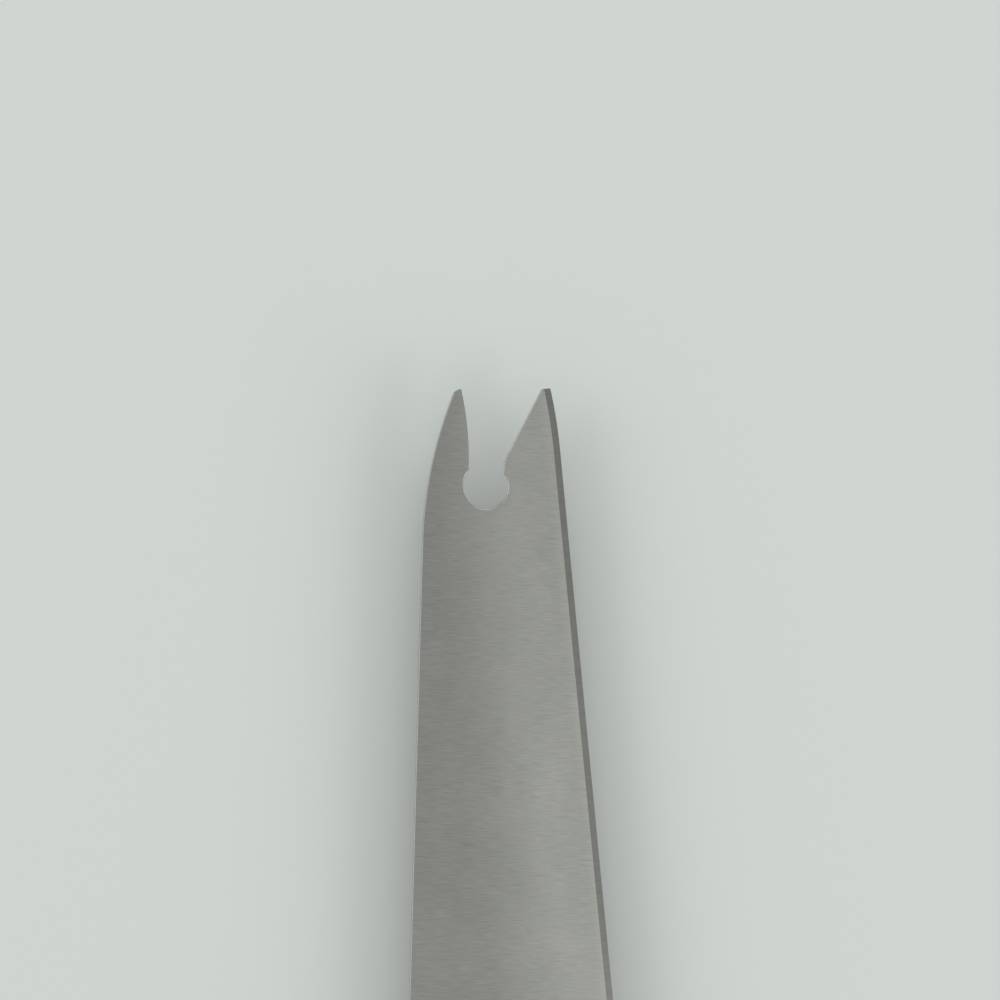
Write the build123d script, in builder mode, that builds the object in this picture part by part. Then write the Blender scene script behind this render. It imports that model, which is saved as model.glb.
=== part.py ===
from build123d import *
import os
from math import cos, radians, sin

# Parmesan knife. It lies flat on its lower scale: +Y runs from the butt to the prong tips,
# +X from the spine to the cutting edge, +Z up. The origin is on the surface it lies on, under the
# middle of its length and width. Every size is in millimetres, every angle in degrees.
os.makedirs("parts", exist_ok=True)

# Whole knife
overall_length = 227.0
blade_length = 112.0
blade_width = 30.3
handle_height = 20.0
handle_length = overall_length - blade_length

# Sheet that the blade and tang are cut from, and the wooden scales on either side of it
tang_thickness = 2.0
scale_thickness = 7.0
scale_rounding = 3.6
scale_front_corner = 4.0

# Cutting edge: it closes on the spine by this angle from the heel to the prong tips
edge_taper = 7.45
bevel_width = 0.85
bevel_shoulder = 0.5
edge_land = 0.06
plunge_radius = 6.0
heel_drop = 6.0
heel_rounding = 0.8
choil_radius = 5.5

# Keyhole notch between the prongs: a punched hole with a neck that opens to the tips
notch_diameter = 6.0
notch_from_spine = 8.2
notch_from_tips = 13.25
neck_half_width = 2.29
neck_left_top = 2.5
neck_right_top = 3.2

# Prongs, measured from the notch's centre
spine_curve_start = -7.75
left_tip_outer = (-4.55, 12.35)
left_tip_inner = (-3.6, 12.95)
right_tip_inner = (7.07, 13.1)
right_tip_outer_height = 13.25
neck_corner_rounding = 0.25
neck_bend_rounding = 1.5
edge_easing = 0.16

# Handle outline: depths below the spine line and distances behind the front of the scales
back_straight = 34.0
back_drop_at_butt = 2.4
finger_waist = (18.1, 24.0)
palm_start = (19.7, 48.0)
palm_end = (21.2, 92.0)
hook_end = (25.4, 112.8)
butt_bulge = 2.2
butt_back_rounding = 8.0
butt_hook_rounding = 6.5

# Two-piece rivets: the pin half is driven into the barrel half
rivet_names = ("front", "middle", "rear")
rivet_spacing = 39.0
rivet_from_front = 18.0
rivet_from_spine = 9.4
rivet_line_drop = 1.2
rivet_head_diameter = 8.0
rivet_head_depth = 2.2
barrel_diameter = 5.0
pin_diameter = 3.2
pin_end_gap = 0.8
seat_clearance = 0.04

# Places that follow from the sizes above
tip_y = overall_length / 2
front_y = tip_y - blade_length
spine_x = -blade_width / 2
heel_x = blade_width / 2
heel_y = front_y + heel_drop
notch_x = spine_x + notch_from_spine
notch_y = tip_y - notch_from_tips
notch_radius = notch_diameter / 2
handle_thickness = tang_thickness + 2 * scale_thickness
middle_z = handle_thickness / 2
tang_bottom_z = scale_thickness
tang_top_z = scale_thickness + tang_thickness
middle_plane = Plane.XY.offset(middle_z)

# How far cutting tools reach past the knife, and how closely corners and walls are picked out
beyond = 160.0
snap = 0.01
wall_slope = 0.2
standing_slope = 0.5

# Directions along and across the cutting edge
along_edge = Vector(-sin(radians(edge_taper)), cos(radians(edge_taper)), 0)
across_edge = Vector(cos(radians(edge_taper)), sin(radians(edge_taper)), 0)


def from_notch(right, up):
    """Place a point by its distance from the notch's centre."""
    return (notch_x + right, notch_y + up)


def on_handle(depth, back):
    """Place a point by its depth below the spine line and its distance behind the handle's front."""
    return (spine_x + depth, front_y - back)


def edge_x(y):
    """Return where the cutting edge is at this height along the knife."""
    return heel_x + (heel_y - y) * sin(radians(edge_taper)) / cos(radians(edge_taper))


def is_blunt_edge(edge):
    """Tell whether this edge bounds a broad side of the blade, away from the handle and the bevel."""
    middle = edge @ 0.5
    from_cutting_edge = (Vector(heel_x, heel_y, middle.Z) - middle).dot(across_edge)
    upright = abs((edge % 0.5).Z) > standing_slope
    return not upright and middle.Y > front_y + edge_easing and from_cutting_edge > 2 * bevel_width


def is_in_fork(edge):
    """Tell whether this edge lies along the notch or the inner side of a prong."""
    middle = edge @ 0.5
    between_prongs = middle.X > notch_x + left_tip_inner[0]
    return between_prongs and middle.Y > notch_y - notch_radius - edge_easing


# Handle outline, shared by the tang and both scales: a straight back that eases down to a rounded
# butt, and an underside with a finger waist, a palm swell and a small hook
with BuildSketch() as handle_outline:
    with BuildLine():
        back = Line(on_handle(0, 0), on_handle(0, back_straight))
        back_end = on_handle(back_drop_at_butt, handle_length - butt_bulge)
        fall = TangentArc(back @ 1, back_end, tangent=back % 1)
        waist = ThreePointArc(
            on_handle(handle_height, 0), on_handle(*finger_waist), on_handle(*palm_start)
        )
        palm = TangentArc(waist @ 1, on_handle(*palm_end), tangent=waist % 1)
        hook = TangentArc(palm @ 1, on_handle(*hook_end), tangent=palm % 1)
        butt_middle = on_handle((back_drop_at_butt + hook_end[0]) / 2, handle_length)
        ThreePointArc(fall @ 1, butt_middle, hook @ 1)
        Line(waist @ 0, back @ 0)
    make_face()
    back_corner = handle_outline.vertices().sort_by_distance(back_end)[0]
    fillet(back_corner, butt_back_rounding)
    hook_corner = handle_outline.vertices().sort_by_distance(on_handle(*hook_end))[0]
    fillet(hook_corner, butt_hook_rounding)

# Blade outline in front of the scales, with its forked tip
with BuildSketch() as blade_outline:
    with BuildLine():
        spine = Line(on_handle(0, 0), (spine_x, notch_y + spine_curve_start))
        spine_curve = TangentArc(spine @ 1, from_notch(*left_tip_outer), tangent=spine % 1)
        Line(spine_curve @ 1, from_notch(*left_tip_inner))
        left_neck_top = from_notch(-neck_half_width, neck_left_top)
        TangentArc(left_neck_top, from_notch(*left_tip_inner), tangent=(0, 1))
        Line(left_neck_top, from_notch(-neck_half_width, 0))
        Line(from_notch(-neck_half_width, 0), from_notch(neck_half_width, 0))
        Line(from_notch(neck_half_width, 0), from_notch(neck_half_width, neck_right_top))
        Line(from_notch(neck_half_width, neck_right_top), from_notch(*right_tip_inner))
        right_tip_y = notch_y + right_tip_outer_height
        Line(from_notch(*right_tip_inner), (edge_x(right_tip_y), right_tip_y))
        Line((edge_x(right_tip_y), right_tip_y), (heel_x, heel_y))
        Line((heel_x, heel_y), on_handle(handle_height, -heel_drop))
        Line(on_handle(handle_height, -heel_drop), on_handle(handle_height, 0))
        Line(on_handle(handle_height, 0), on_handle(0, 0))
    make_face()
    with Locations(from_notch(0, 0)):
        Circle(notch_radius, mode=Mode.SUBTRACT)
    neck_foot_y = notch_y + (notch_radius**2 - neck_half_width**2) ** 0.5
    neck_feet = blade_outline.vertices().filter_by(lambda v: abs(v.Y - neck_foot_y) < snap)
    fillet(neck_feet, neck_corner_rounding)
    neck_bend = blade_outline.vertices().sort_by_distance(from_notch(neck_half_width, neck_right_top))[0]
    fillet(neck_bend, neck_bend_rounding)
    choil = blade_outline.vertices().sort_by_distance(on_handle(handle_height, -heel_drop))[0]
    fillet(choil, choil_radius)
    heel = blade_outline.vertices().sort_by_distance((heel_x, heel_y))[0]
    fillet(heel, heel_rounding)

# Grinding cut: a wedge on each side that leaves the blade at full thickness along the spine and
# bevel_shoulder thick behind the cutting edge, and runs out on a radius before the handle
shoulder_at_heel = Vector(heel_x, heel_y, middle_z) - across_edge * bevel_width
grind_rise = (tang_thickness - bevel_shoulder) / 2
grind_reach = blade_width * cos(radians(edge_taper)) - bevel_width
across_ground_face = Vector(0, 0, grind_rise) - across_edge * grind_reach
grind_plane = Plane(
    origin=shoulder_at_heel + Vector(0, 0, bevel_shoulder / 2),
    x_dir=-along_edge,
    z_dir=across_ground_face,
)
with BuildPart() as grind:
    with BuildSketch(grind_plane):
        with BuildLine():
            Polyline(
                (0, 0),
                (-beyond, 0),
                (-beyond, plunge_radius),
                (plunge_radius, plunge_radius),
            )
            RadiusArc((plunge_radius, plunge_radius), (0, 0), plunge_radius)
        make_face()
    extrude(amount=2 * blade_width, both=True)
    mirror(about=middle_plane)

# Honing cut: a narrow wedge on each side that leaves the cutting edge itself
edge_plane = Plane(
    origin=Vector(heel_x, heel_y, middle_z),
    x_dir=across_edge,
    z_dir=-along_edge,
)
bevel_slope = (bevel_shoulder - edge_land) / 2 / bevel_width
with BuildPart() as hone:
    with BuildSketch(edge_plane):
        with BuildLine():
            Polyline(
                (-bevel_width, bevel_shoulder / 2),
                (bevel_width, edge_land / 2 - bevel_slope * bevel_width),
                (bevel_width, tang_thickness),
                (-bevel_width, tang_thickness),
                close=True,
            )
        make_face()
    extrude(amount=beyond, both=True)
    mirror(about=middle_plane)

# Rivet places: a straight line down the middle of the handle
rivet_places = [
    on_handle(rivet_from_spine + i * rivet_line_drop, rivet_from_front + i * rivet_spacing)
    for i in range(len(rivet_names))
]

# Blade and full tang in one piece
with BuildPart() as blade:
    with BuildSketch(Plane.XY.offset(tang_bottom_z)):
        add(blade_outline.sketch)
    extrude(amount=tang_thickness)
    add(grind.part, mode=Mode.SUBTRACT)
    add(hone.part, mode=Mode.SUBTRACT)
    walls = blade.faces().filter_by(lambda f: abs(f.normal_at().Z) < wall_slope)
    chamfer(walls.edges().filter_by(is_blunt_edge).filter_by(is_in_fork), edge_easing)
    walls = blade.faces().filter_by(lambda f: abs(f.normal_at().Z) < wall_slope)
    blunt_edges = walls.edges().filter_by(is_blunt_edge)
    fillet([edge for edge in blunt_edges if not is_in_fork(edge)], edge_easing)
    with BuildSketch(Plane.XY.offset(tang_bottom_z)):
        add(handle_outline.sketch)
    extrude(amount=tang_thickness)
    with Locations([(x, y, tang_top_z) for x, y in rivet_places]):
        Hole(barrel_diameter / 2 + seat_clearance)

blade.part.label = "blade"
export_step(blade.part, "parts/blade.step")


def make_scale(name, inner_z, outer_z):
    """Build one wooden scale between its face on the tang and its flat outer face."""
    outward = 1 if outer_z > inner_z else -1
    with BuildPart() as scale:
        with BuildSketch(Plane.XY.offset(inner_z)) as outline:
            add(handle_outline.sketch)
            front_corners = outline.vertices().group_by(Axis.Y)[-1]
            fillet(front_corners, scale_front_corner)
        extrude(amount=outward * scale_thickness)
        outer_face = scale.faces().filter_by(Axis.Z).sort_by(lambda f: outward * f.center().Z)[-1]
        fillet(outer_face.edges(), scale_rounding)
        with Locations(Plane(origin=(0, 0, outer_z), z_dir=(0, 0, outward), x_dir=(1, 0, 0))):
            with Locations([(x, y * outward, 0) for x, y in rivet_places]):
                CounterBoreHole(
                    radius=barrel_diameter / 2 + seat_clearance,
                    counter_bore_radius=rivet_head_diameter / 2 + seat_clearance,
                    counter_bore_depth=rivet_head_depth,
                )
    scale.part.label = name
    return scale


upper_scale = make_scale("upper_scale", tang_top_z, handle_thickness)
export_step(upper_scale.part, "parts/upper_scale.step")

lower_scale = make_scale("lower_scale", tang_bottom_z, 0)
export_step(lower_scale.part, "parts/lower_scale.step")

# Rivets, one at each place: the barrel's head is flush with the lower face and the pin's head
# with the upper face, and the pin is driven down into the barrel. Each half is turned, so its
# profile runs outwards from the rivet's axis and upwards from the lower face
head_radius = rivet_head_diameter / 2
barrel_radius = barrel_diameter / 2
pin_radius = pin_diameter / 2
bore_radius = pin_radius + seat_clearance
shoulder_z = handle_thickness - rivet_head_depth
pin_end_z = rivet_head_depth + pin_end_gap
for rivet_name, (rivet_x, rivet_y) in zip(rivet_names, rivet_places):
    section = Plane(origin=(rivet_x, rivet_y, 0), x_dir=(1, 0, 0), z_dir=(0, -1, 0))
    rivet_axis = Axis(section.origin, (0, 0, 1))

    with BuildPart() as barrel:
        with BuildSketch(section):
            with BuildLine():
                Polyline(
                    (0, 0),
                    (head_radius, 0),
                    (head_radius, rivet_head_depth),
                    (barrel_radius, rivet_head_depth),
                    (barrel_radius, shoulder_z),
                    (bore_radius, shoulder_z),
                    (bore_radius, rivet_head_depth),
                    (0, rivet_head_depth),
                    close=True,
                )
            make_face()
        revolve(axis=rivet_axis)
    barrel.part.label = f"{rivet_name}_rivet_barrel"
    export_step(barrel.part, f"parts/{rivet_name}_rivet_barrel.step")

    with BuildPart() as pin:
        with BuildSketch(section):
            with BuildLine():
                Polyline(
                    (0, handle_thickness),
                    (head_radius, handle_thickness),
                    (head_radius, shoulder_z),
                    (pin_radius, shoulder_z),
                    (pin_radius, pin_end_z),
                    (0, pin_end_z),
                    close=True,
                )
            make_face()
        revolve(axis=rivet_axis)
    pin.part.label = f"{rivet_name}_rivet_pin"
    export_step(pin.part, f"parts/{rivet_name}_rivet_pin.step")
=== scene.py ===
"""Parmesan knife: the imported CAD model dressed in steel, wood and rivet finishes.

The knife lies on its lower scale. +Y runs from the butt to the prong tips, +X from the spine to the
cutting edge and +Z up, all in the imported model's own frame. Shapes are worked out in millimetres and
finishes in metres, and MM turns the one into the other.
"""

import logging
from abc import ABC, abstractmethod
from collections.abc import Sequence
from dataclasses import dataclass, field
from enum import Enum
from functools import cache
from math import ceil, cos, pi, radians, sin, tan

import bmesh
import bpy
import numpy as np
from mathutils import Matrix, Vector
from numpy.typing import ArrayLike


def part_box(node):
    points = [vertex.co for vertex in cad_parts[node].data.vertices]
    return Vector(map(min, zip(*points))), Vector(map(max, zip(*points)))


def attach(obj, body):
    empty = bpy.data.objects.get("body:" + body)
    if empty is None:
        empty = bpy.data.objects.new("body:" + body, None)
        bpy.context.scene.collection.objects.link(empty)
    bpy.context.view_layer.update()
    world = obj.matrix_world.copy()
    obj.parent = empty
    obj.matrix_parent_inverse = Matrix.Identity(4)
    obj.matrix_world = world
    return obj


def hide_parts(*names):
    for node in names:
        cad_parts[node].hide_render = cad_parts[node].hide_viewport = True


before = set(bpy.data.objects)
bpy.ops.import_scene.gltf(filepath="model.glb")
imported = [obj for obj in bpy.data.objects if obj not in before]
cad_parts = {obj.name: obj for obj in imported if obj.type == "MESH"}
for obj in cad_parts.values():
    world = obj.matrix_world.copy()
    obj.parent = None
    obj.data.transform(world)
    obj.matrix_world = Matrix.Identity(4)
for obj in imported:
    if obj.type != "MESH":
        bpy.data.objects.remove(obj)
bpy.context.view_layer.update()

log = logging.getLogger("parmesan_knife")

Socket = bpy.types.NodeSocket
Feed = Socket | float | tuple[float, ...]
Colour = tuple[float, float, float, float]
Pair = tuple[float, float]

MM = 0.001
SAME_POINT = 0.0005
SHARP_TURN = radians(33.0)

# Sizes in millimetres that the shapes and the finishes share
HEEL: Pair = (15.15, 7.5)
EDGE_TAPER = radians(7.45)
ACROSS_EDGE = np.array([cos(EDGE_TAPER), sin(EDGE_TAPER)])
ALONG_EDGE = np.array([-sin(EDGE_TAPER), cos(EDGE_TAPER)])
BEVEL_WIDTH = 0.85
SHEET_THICKNESS = 2.0
HANDLE_THICKNESS = 16.0
RIVET_HEAD_RADIUS = 4.0
RIVET_PLACES: dict[str, Pair] = {
    "front": (-5.75, -16.5),
    "middle": (-4.55, -55.5),
    "rear": (-3.35, -94.5),
}

PALE_GREY: Colour = (0.617, 0.658, 0.631, 1.0)


class Side(Enum):
    """The two scales, named for the side of the tang that they lie on."""

    UPPER = "upper"
    LOWER = "lower"


@dataclass
class Pattern:
    """A node tree that is filled step by step, each step giving back its output socket.

    Args:
        tree: The material's, group's or world's node tree.
    """

    tree: bpy.types.NodeTree

    def feed(self, socket: Socket, value: Feed) -> None:
        """Link a socket to an output, or set it to a plain value.

        Args:
            socket: The input to fill.
            value: An output socket, a number or a tuple of numbers.
        """
        if isinstance(value, Socket):
            self.tree.links.new(value, socket)
        else:
            socket.default_value = value

    def node(
        self, kind: str, inputs: dict[int | str, Feed] | None = None, **options: object
    ) -> bpy.types.Node:
        """Add one node, set its options and fill its inputs.

        Args:
            kind: Blender's name for the kind of node.
            inputs: What its inputs are fed with, by number or name.
            options: The node's own settings by name.

        Returns:
            The node.
        """
        made = self.tree.nodes.new(kind)
        for option, value in options.items():
            setattr(made, option, value)
        for socket, value in (inputs or {}).items():
            self.feed(made.inputs[socket], value)
        return made

    def math(self, operation: str, *values: Feed, clamp: bool = False) -> Socket:
        """Work out one number from up to three others."""
        inputs = dict(enumerate(values))
        return self.node("ShaderNodeMath", inputs, operation=operation, use_clamp=clamp).outputs[0]

    def vector(self, operation: str, *values: Feed) -> Socket:
        """Work out one vector, or a length, distance or dot product, from up to two others.

        Args:
            operation: The Vector Math operation.
            values: What its inputs are fed with.

        Returns:
            The number for a length, a distance or a dot product, else the vector.
        """
        made = self.node("ShaderNodeVectorMath", dict(enumerate(values)), operation=operation)
        gives_number = operation in ("LENGTH", "DISTANCE", "DOT_PRODUCT")
        return made.outputs["Value" if gives_number else "Vector"]

    def split(self, place: Feed) -> list[Socket]:
        """Split a vector into its X, Y and Z."""
        return list(self.node("ShaderNodeSeparateXYZ", {0: place}).outputs)

    def join(self, x: Feed, y: Feed, z: Feed) -> Socket:
        """Join three numbers into a vector."""
        return self.node("ShaderNodeCombineXYZ", {0: x, 1: y, 2: z}).outputs[0]

    def mapped(
        self,
        place: Feed,
        location: tuple[float, float, float] = (0.0, 0.0, 0.0),
        turn: tuple[float, float, float] = (0.0, 0.0, 0.0),
        scale: tuple[float, float, float] = (1.0, 1.0, 1.0),
    ) -> Socket:
        """Centre, turn and stretch a place with a Mapping node.

        Args:
            place: The vector to map.
            location: What is added after the turn.
            turn: The turn about X, Y and Z in degrees.
            scale: The stretch along X, Y and Z, which comes first.

        Returns:
            The mapped vector.
        """
        rotation = tuple(radians(angle) for angle in turn)
        inputs = {"Vector": place, "Location": location, "Rotation": rotation, "Scale": scale}
        return self.node("ShaderNodeMapping", inputs, vector_type="POINT").outputs[0]

    def noise(self, place: Feed, detail: float, roughness: float = 0.5) -> Socket:
        """Sample soft noise, with cells one unit wide, at a stretched place."""
        inputs = {"Vector": place, "Scale": 1.0, "Detail": detail, "Roughness": roughness}
        return self.node("ShaderNodeTexNoise", inputs, noise_dimensions="3D").outputs["Fac"]

    def fade(self, value: Feed, start: Feed, end: Feed) -> Socket:
        """Rise smoothly from 0 at start to 1 at end."""
        inputs = {"Value": value, "From Min": start, "From Max": end}
        return self.node("ShaderNodeMapRange", inputs, interpolation_type="SMOOTHSTEP").outputs[0]

    def span(self, value: Feed, low: float, high: float) -> Socket:
        """Carry a mask from 0 and 1 to a low and a high number."""
        inputs = {"Value": value, "To Min": low, "To Max": high}
        return self.node("ShaderNodeMapRange", inputs, interpolation_type="LINEAR").outputs[0]

    def rest(self, mask: Feed) -> Socket:
        """Turn a mask into what it leaves over, so that 0 and 1 change places."""
        return self.math("SUBTRACT", 1.0, mask)

    def choose(self, share: Feed, first: Feed, second: Feed) -> Socket:
        """Blend two numbers by a share."""
        inputs = {0: share, 2: first, 3: second}
        return self.node("ShaderNodeMix", inputs, data_type="FLOAT").outputs[0]

    def tint(self, share: Feed, first: Feed, second: Feed) -> Socket:
        """Lay a share of the second colour over the first."""
        inputs = {0: share, 6: first, 7: second}
        return self.node("ShaderNodeMix", inputs, data_type="RGBA").outputs[2]

    def bump(self, height: Feed, depth: float) -> Socket:
        """Turn a height into the normal of a relief, in which a height of 1 is so many metres."""
        inputs = {"Strength": 1.0, "Distance": depth, "Height": height}
        return self.node("ShaderNodeBump", inputs).outputs["Normal"]

    def group(self, tree: bpy.types.NodeTree, **values: Feed) -> bpy.types.NodeOutputs:
        """Place a shared pattern and feed its inputs, with a low line for each space in a name."""
        inputs = {name.replace("_", " "): value for name, value in values.items()}
        return self.node("ShaderNodeGroup", inputs, node_tree=tree).outputs


@dataclass
class Skin(Pattern):
    """A material's node tree, with its shader and its texture coordinates at hand.

    Args:
        shader: The Principled BSDF's inputs.
        where: The texture coordinates' outputs.
    """

    shader: bpy.types.NodeInputs
    where: bpy.types.NodeOutputs

    def show(self, name: str, value: Feed) -> None:
        """Feed one of the shader's inputs."""
        self.feed(self.shader[name], value)


def new_group(
    name: str, numbers: dict[str, float], vectors: Sequence[str], outputs: Sequence[str]
) -> tuple[Pattern, bpy.types.NodeOutputs, bpy.types.NodeInputs]:
    """Make an empty node group with named inputs and outputs.

    Args:
        name: The group's name.
        numbers: Number inputs and their usual values.
        vectors: Vector inputs.
        outputs: Number outputs.

    Returns:
        The pattern to fill, its inputs as sockets to read, and its outputs as sockets to feed.
    """
    tree = bpy.data.node_groups.new(name, "ShaderNodeTree")
    for label in vectors:
        tree.interface.new_socket(label, in_out="INPUT", socket_type="NodeSocketVector")
    for label, value in numbers.items():
        socket = tree.interface.new_socket(label, in_out="INPUT", socket_type="NodeSocketFloat")
        socket.default_value = value
    for label in outputs:
        tree.interface.new_socket(label, in_out="OUTPUT", socket_type="NodeSocketFloat")
    pattern = Pattern(tree)
    given = pattern.node("NodeGroupInput").outputs
    wanted = pattern.node("NodeGroupOutput").inputs
    return pattern, given, wanted


@cache
def brushed_lines() -> bpy.types.NodeTree:
    """Build the lines that an abrasive belt leaves, which run along the place's own X.

    The tone is noise stretched to Length along the line and Spacing across it, a second set under
    half as wide, and single deeper and brighter cuts where a third set of noise is at its extremes.

    Returns:
        The node group.
    """
    fine_stretch, fine_squeeze, fine_shift, fine_share = 0.7, 2.3, 17.0, 0.45
    cut_stretch, cut_squeeze, cut_shift, cut_drop = 0.55, 0.9, 41.0, 5.0
    line_range, bright_cuts, dark_cuts = (0.3, 0.7), (0.64, 0.76), (0.36, 0.24)
    cut_tone, cut_depth = 0.5, 0.4

    pattern, given, wanted = new_group(
        "brushed_lines", {"Spacing": 0.1 * MM, "Length": 2 * MM}, ["Place"], ["Tone", "Height"]
    )
    x, y, z = pattern.split(given["Place"])
    along = pattern.math("DIVIDE", x, given["Length"])
    across = pattern.math("DIVIDE", y, given["Spacing"])
    deep = pattern.math("DIVIDE", z, given["Length"])
    coarse = pattern.noise(pattern.join(along, across, deep), detail=1.0)
    fine_along = pattern.math("MULTIPLY_ADD", along, fine_stretch, fine_shift)
    fine_across = pattern.math("MULTIPLY", across, fine_squeeze)
    fine = pattern.noise(pattern.join(fine_along, fine_across, deep), detail=1.0)
    cut_along = pattern.math("MULTIPLY_ADD", along, cut_stretch, cut_shift)
    cut_across = pattern.math("MULTIPLY_ADD", across, cut_squeeze, cut_drop)
    cuts = pattern.noise(pattern.join(cut_along, cut_across, deep), detail=0.0)
    bright = pattern.fade(cuts, *bright_cuts)
    dark = pattern.fade(cuts, *dark_cuts)

    both = (pattern.fade(coarse, *line_range), pattern.fade(fine, *line_range))
    brighter = pattern.math("MULTIPLY_ADD", bright, cut_tone, pattern.choose(fine_share, *both))
    pattern.feed(wanted["Tone"], pattern.math("MULTIPLY_ADD", dark, -cut_tone, brighter))
    relief = pattern.choose(0.5, coarse, fine)
    pattern.feed(wanted["Height"], pattern.math("MULTIPLY_ADD", dark, -cut_depth, relief))
    return pattern.tree


@cache
def handling_marks() -> bpy.types.NodeTree:
    """Build sparse hairline scratches in two directions, and soft smudges, from handling.

    A scratch is the crest of noise stretched a hundredfold, kept only where broad noise is high.

    Returns:
        The node group.
    """
    scratch_sets = ((27.0, 3.1), (-58.0, 8.7))
    stretch = (1 / (16 * MM), 1 / (0.16 * MM), 1 / (8 * MM))
    patches, smears = (110.0, 110.0, 110.0), (70.0, 55.0, 70.0)
    crest_range, patch_range, smudge_range = (0.72, 0.78), (0.52, 0.6), (0.35, 0.7)

    pattern, given, wanted = new_group("handling_marks", {}, ["Place"], ["Scratches", "Smudges"])
    crests = []
    for turn, shift in scratch_sets:
        turned_place = pattern.mapped(given["Place"], turn=(0.0, 0.0, turn))
        hairs = pattern.mapped(turned_place, location=(shift, shift, 0.0), scale=stretch)
        crest = pattern.fade(pattern.noise(hairs, detail=1.0), *crest_range)
        broad = pattern.mapped(turned_place, location=(shift, 0.0, 0.0), scale=patches)
        patch = pattern.fade(pattern.noise(broad, detail=1.0), *patch_range)
        crests.append(pattern.math("MULTIPLY", crest, patch))
    pattern.feed(wanted["Scratches"], pattern.math("MAXIMUM", *crests))
    smeared = pattern.mapped(given["Place"], location=(4.0, 1.0, 2.0), scale=smears)
    smudges = pattern.noise(smeared, detail=3.0, roughness=0.6)
    pattern.feed(wanted["Smudges"], pattern.fade(smudges, *smudge_range))
    return pattern.tree


@cache
def rounded_edges() -> bpy.types.NodeTree:
    """Find where a surface turns from lying flat to standing up, which is where hands polish it.

    The mask rises as the steepness, the size of the normal's Z, leaves 1 and falls again near 0.

    Returns:
        The node group.
    """
    flat_range, wall_range = (0.9, 0.985), (0.05, 0.4)
    wear_scale, wear_range = (160.0, 90.0, 160.0), (0.6, 1.2)

    pattern, given, wanted = new_group("rounded_edges", {}, ["Normal", "Place"], ["Edge", "Wall"])
    steepness = pattern.math("ABSOLUTE", pattern.split(given["Normal"])[2])
    tilted = pattern.rest(pattern.fade(steepness, *flat_range))
    wall = pattern.rest(pattern.fade(steepness, *wall_range))
    wear = pattern.noise(pattern.mapped(given["Place"], scale=wear_scale), detail=3.0)
    edge = pattern.math("SUBTRACT", tilted, wall, clamp=True)
    worn = pattern.math("MULTIPLY", edge, pattern.span(wear, *wear_range), clamp=True)
    pattern.feed(wanted["Edge"], worn)
    pattern.feed(wanted["Wall"], wall)
    return pattern.tree


def growth_rings(pattern: Pattern, bent: Feed, spacing: Feed) -> tuple[Socket, Socket]:
    """Work out the growth rings round the Y axis.

    The distance from the axis over the spacing is the ring's number, and its remainder is how far
    through the ring a place is. The dark share rises as the remainder to the power of three, drops
    sharply at the ring's end, and is weaker or stronger from ring to ring.

    Args:
        pattern: The group to add to.
        bent: The place, with the tree's middle on the Y axis.
        spacing: How wide a ring is.

    Returns:
        How far through its ring a place is, and how dark it is there.
    """
    rise_range, drop_range, strengths = (0.1, 0.92), (0.93, 0.995), (0.25, 1.0)
    from_pith = pattern.vector("LENGTH", pattern.vector("MULTIPLY", bent, (1.0, 0.0, 1.0)))
    ring_number = pattern.math("DIVIDE", from_pith, spacing)
    through_ring = pattern.math("FRACT", ring_number)
    rise = pattern.math("POWER", pattern.fade(through_ring, *rise_range), 3.0)
    drop = pattern.rest(pattern.fade(through_ring, *drop_range))
    whole = {"W": pattern.math("FLOOR", ring_number)}
    chance = pattern.node("ShaderNodeTexWhiteNoise", whole, noise_dimensions="1D")
    strength = pattern.span(chance.outputs["Value"], *strengths)
    return through_ring, pattern.math("MULTIPLY", pattern.math("MULTIPLY", rise, drop), strength)


def open_pores(pattern: Pattern, bent: Feed, length: Feed, through_ring: Feed) -> Socket:
    """Work out narrow and wide pores along the grain, each set wider early in a ring.

    A pore is the heart of a long thin cell. It is fully open up to 0.4 times its reach from the
    cell's middle, and closed at the whole of its reach.

    Args:
        pattern: The group to add to.
        bent: The place, with the grain along Y.
        length: How long a narrow pore is.
        through_ring: How far through its ring a place is.

    Returns:
        The mask of both sets.
    """
    pore_kinds = ((0.17 * MM, 1.0, 0.36), (0.31 * MM, 1.7, 0.25))
    sizes, early_range, late_share, heart = (0.3, 1.05), (0.1, 0.8), 0.55, 0.4
    x, y, z = pattern.split(bent)
    pore_sets = []
    for width, longer, reach in pore_kinds:
        across = pattern.math("DIVIDE", x, width)
        along = pattern.math("DIVIDE", y, pattern.math("MULTIPLY", length, longer))
        deep = pattern.math("DIVIDE", z, width)
        cells = pattern.node(
            "ShaderNodeTexVoronoi",
            {"Vector": pattern.join(across, along, deep), "Scale": 1.0},
            voronoi_dimensions="3D",
            feature="F1",
        )
        size = pattern.span(pattern.split(cells.outputs["Color"])[0], *sizes)
        late = pattern.fade(through_ring, *early_range)
        widest = pattern.math("MULTIPLY", pattern.span(late, reach, late_share * reach), size)
        fully_open = pattern.math("MULTIPLY", widest, heart)
        pore_sets.append(pattern.rest(pattern.fade(cells.outputs["Distance"], fully_open, widest)))
    return pattern.math("MAXIMUM", *pore_sets)


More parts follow.
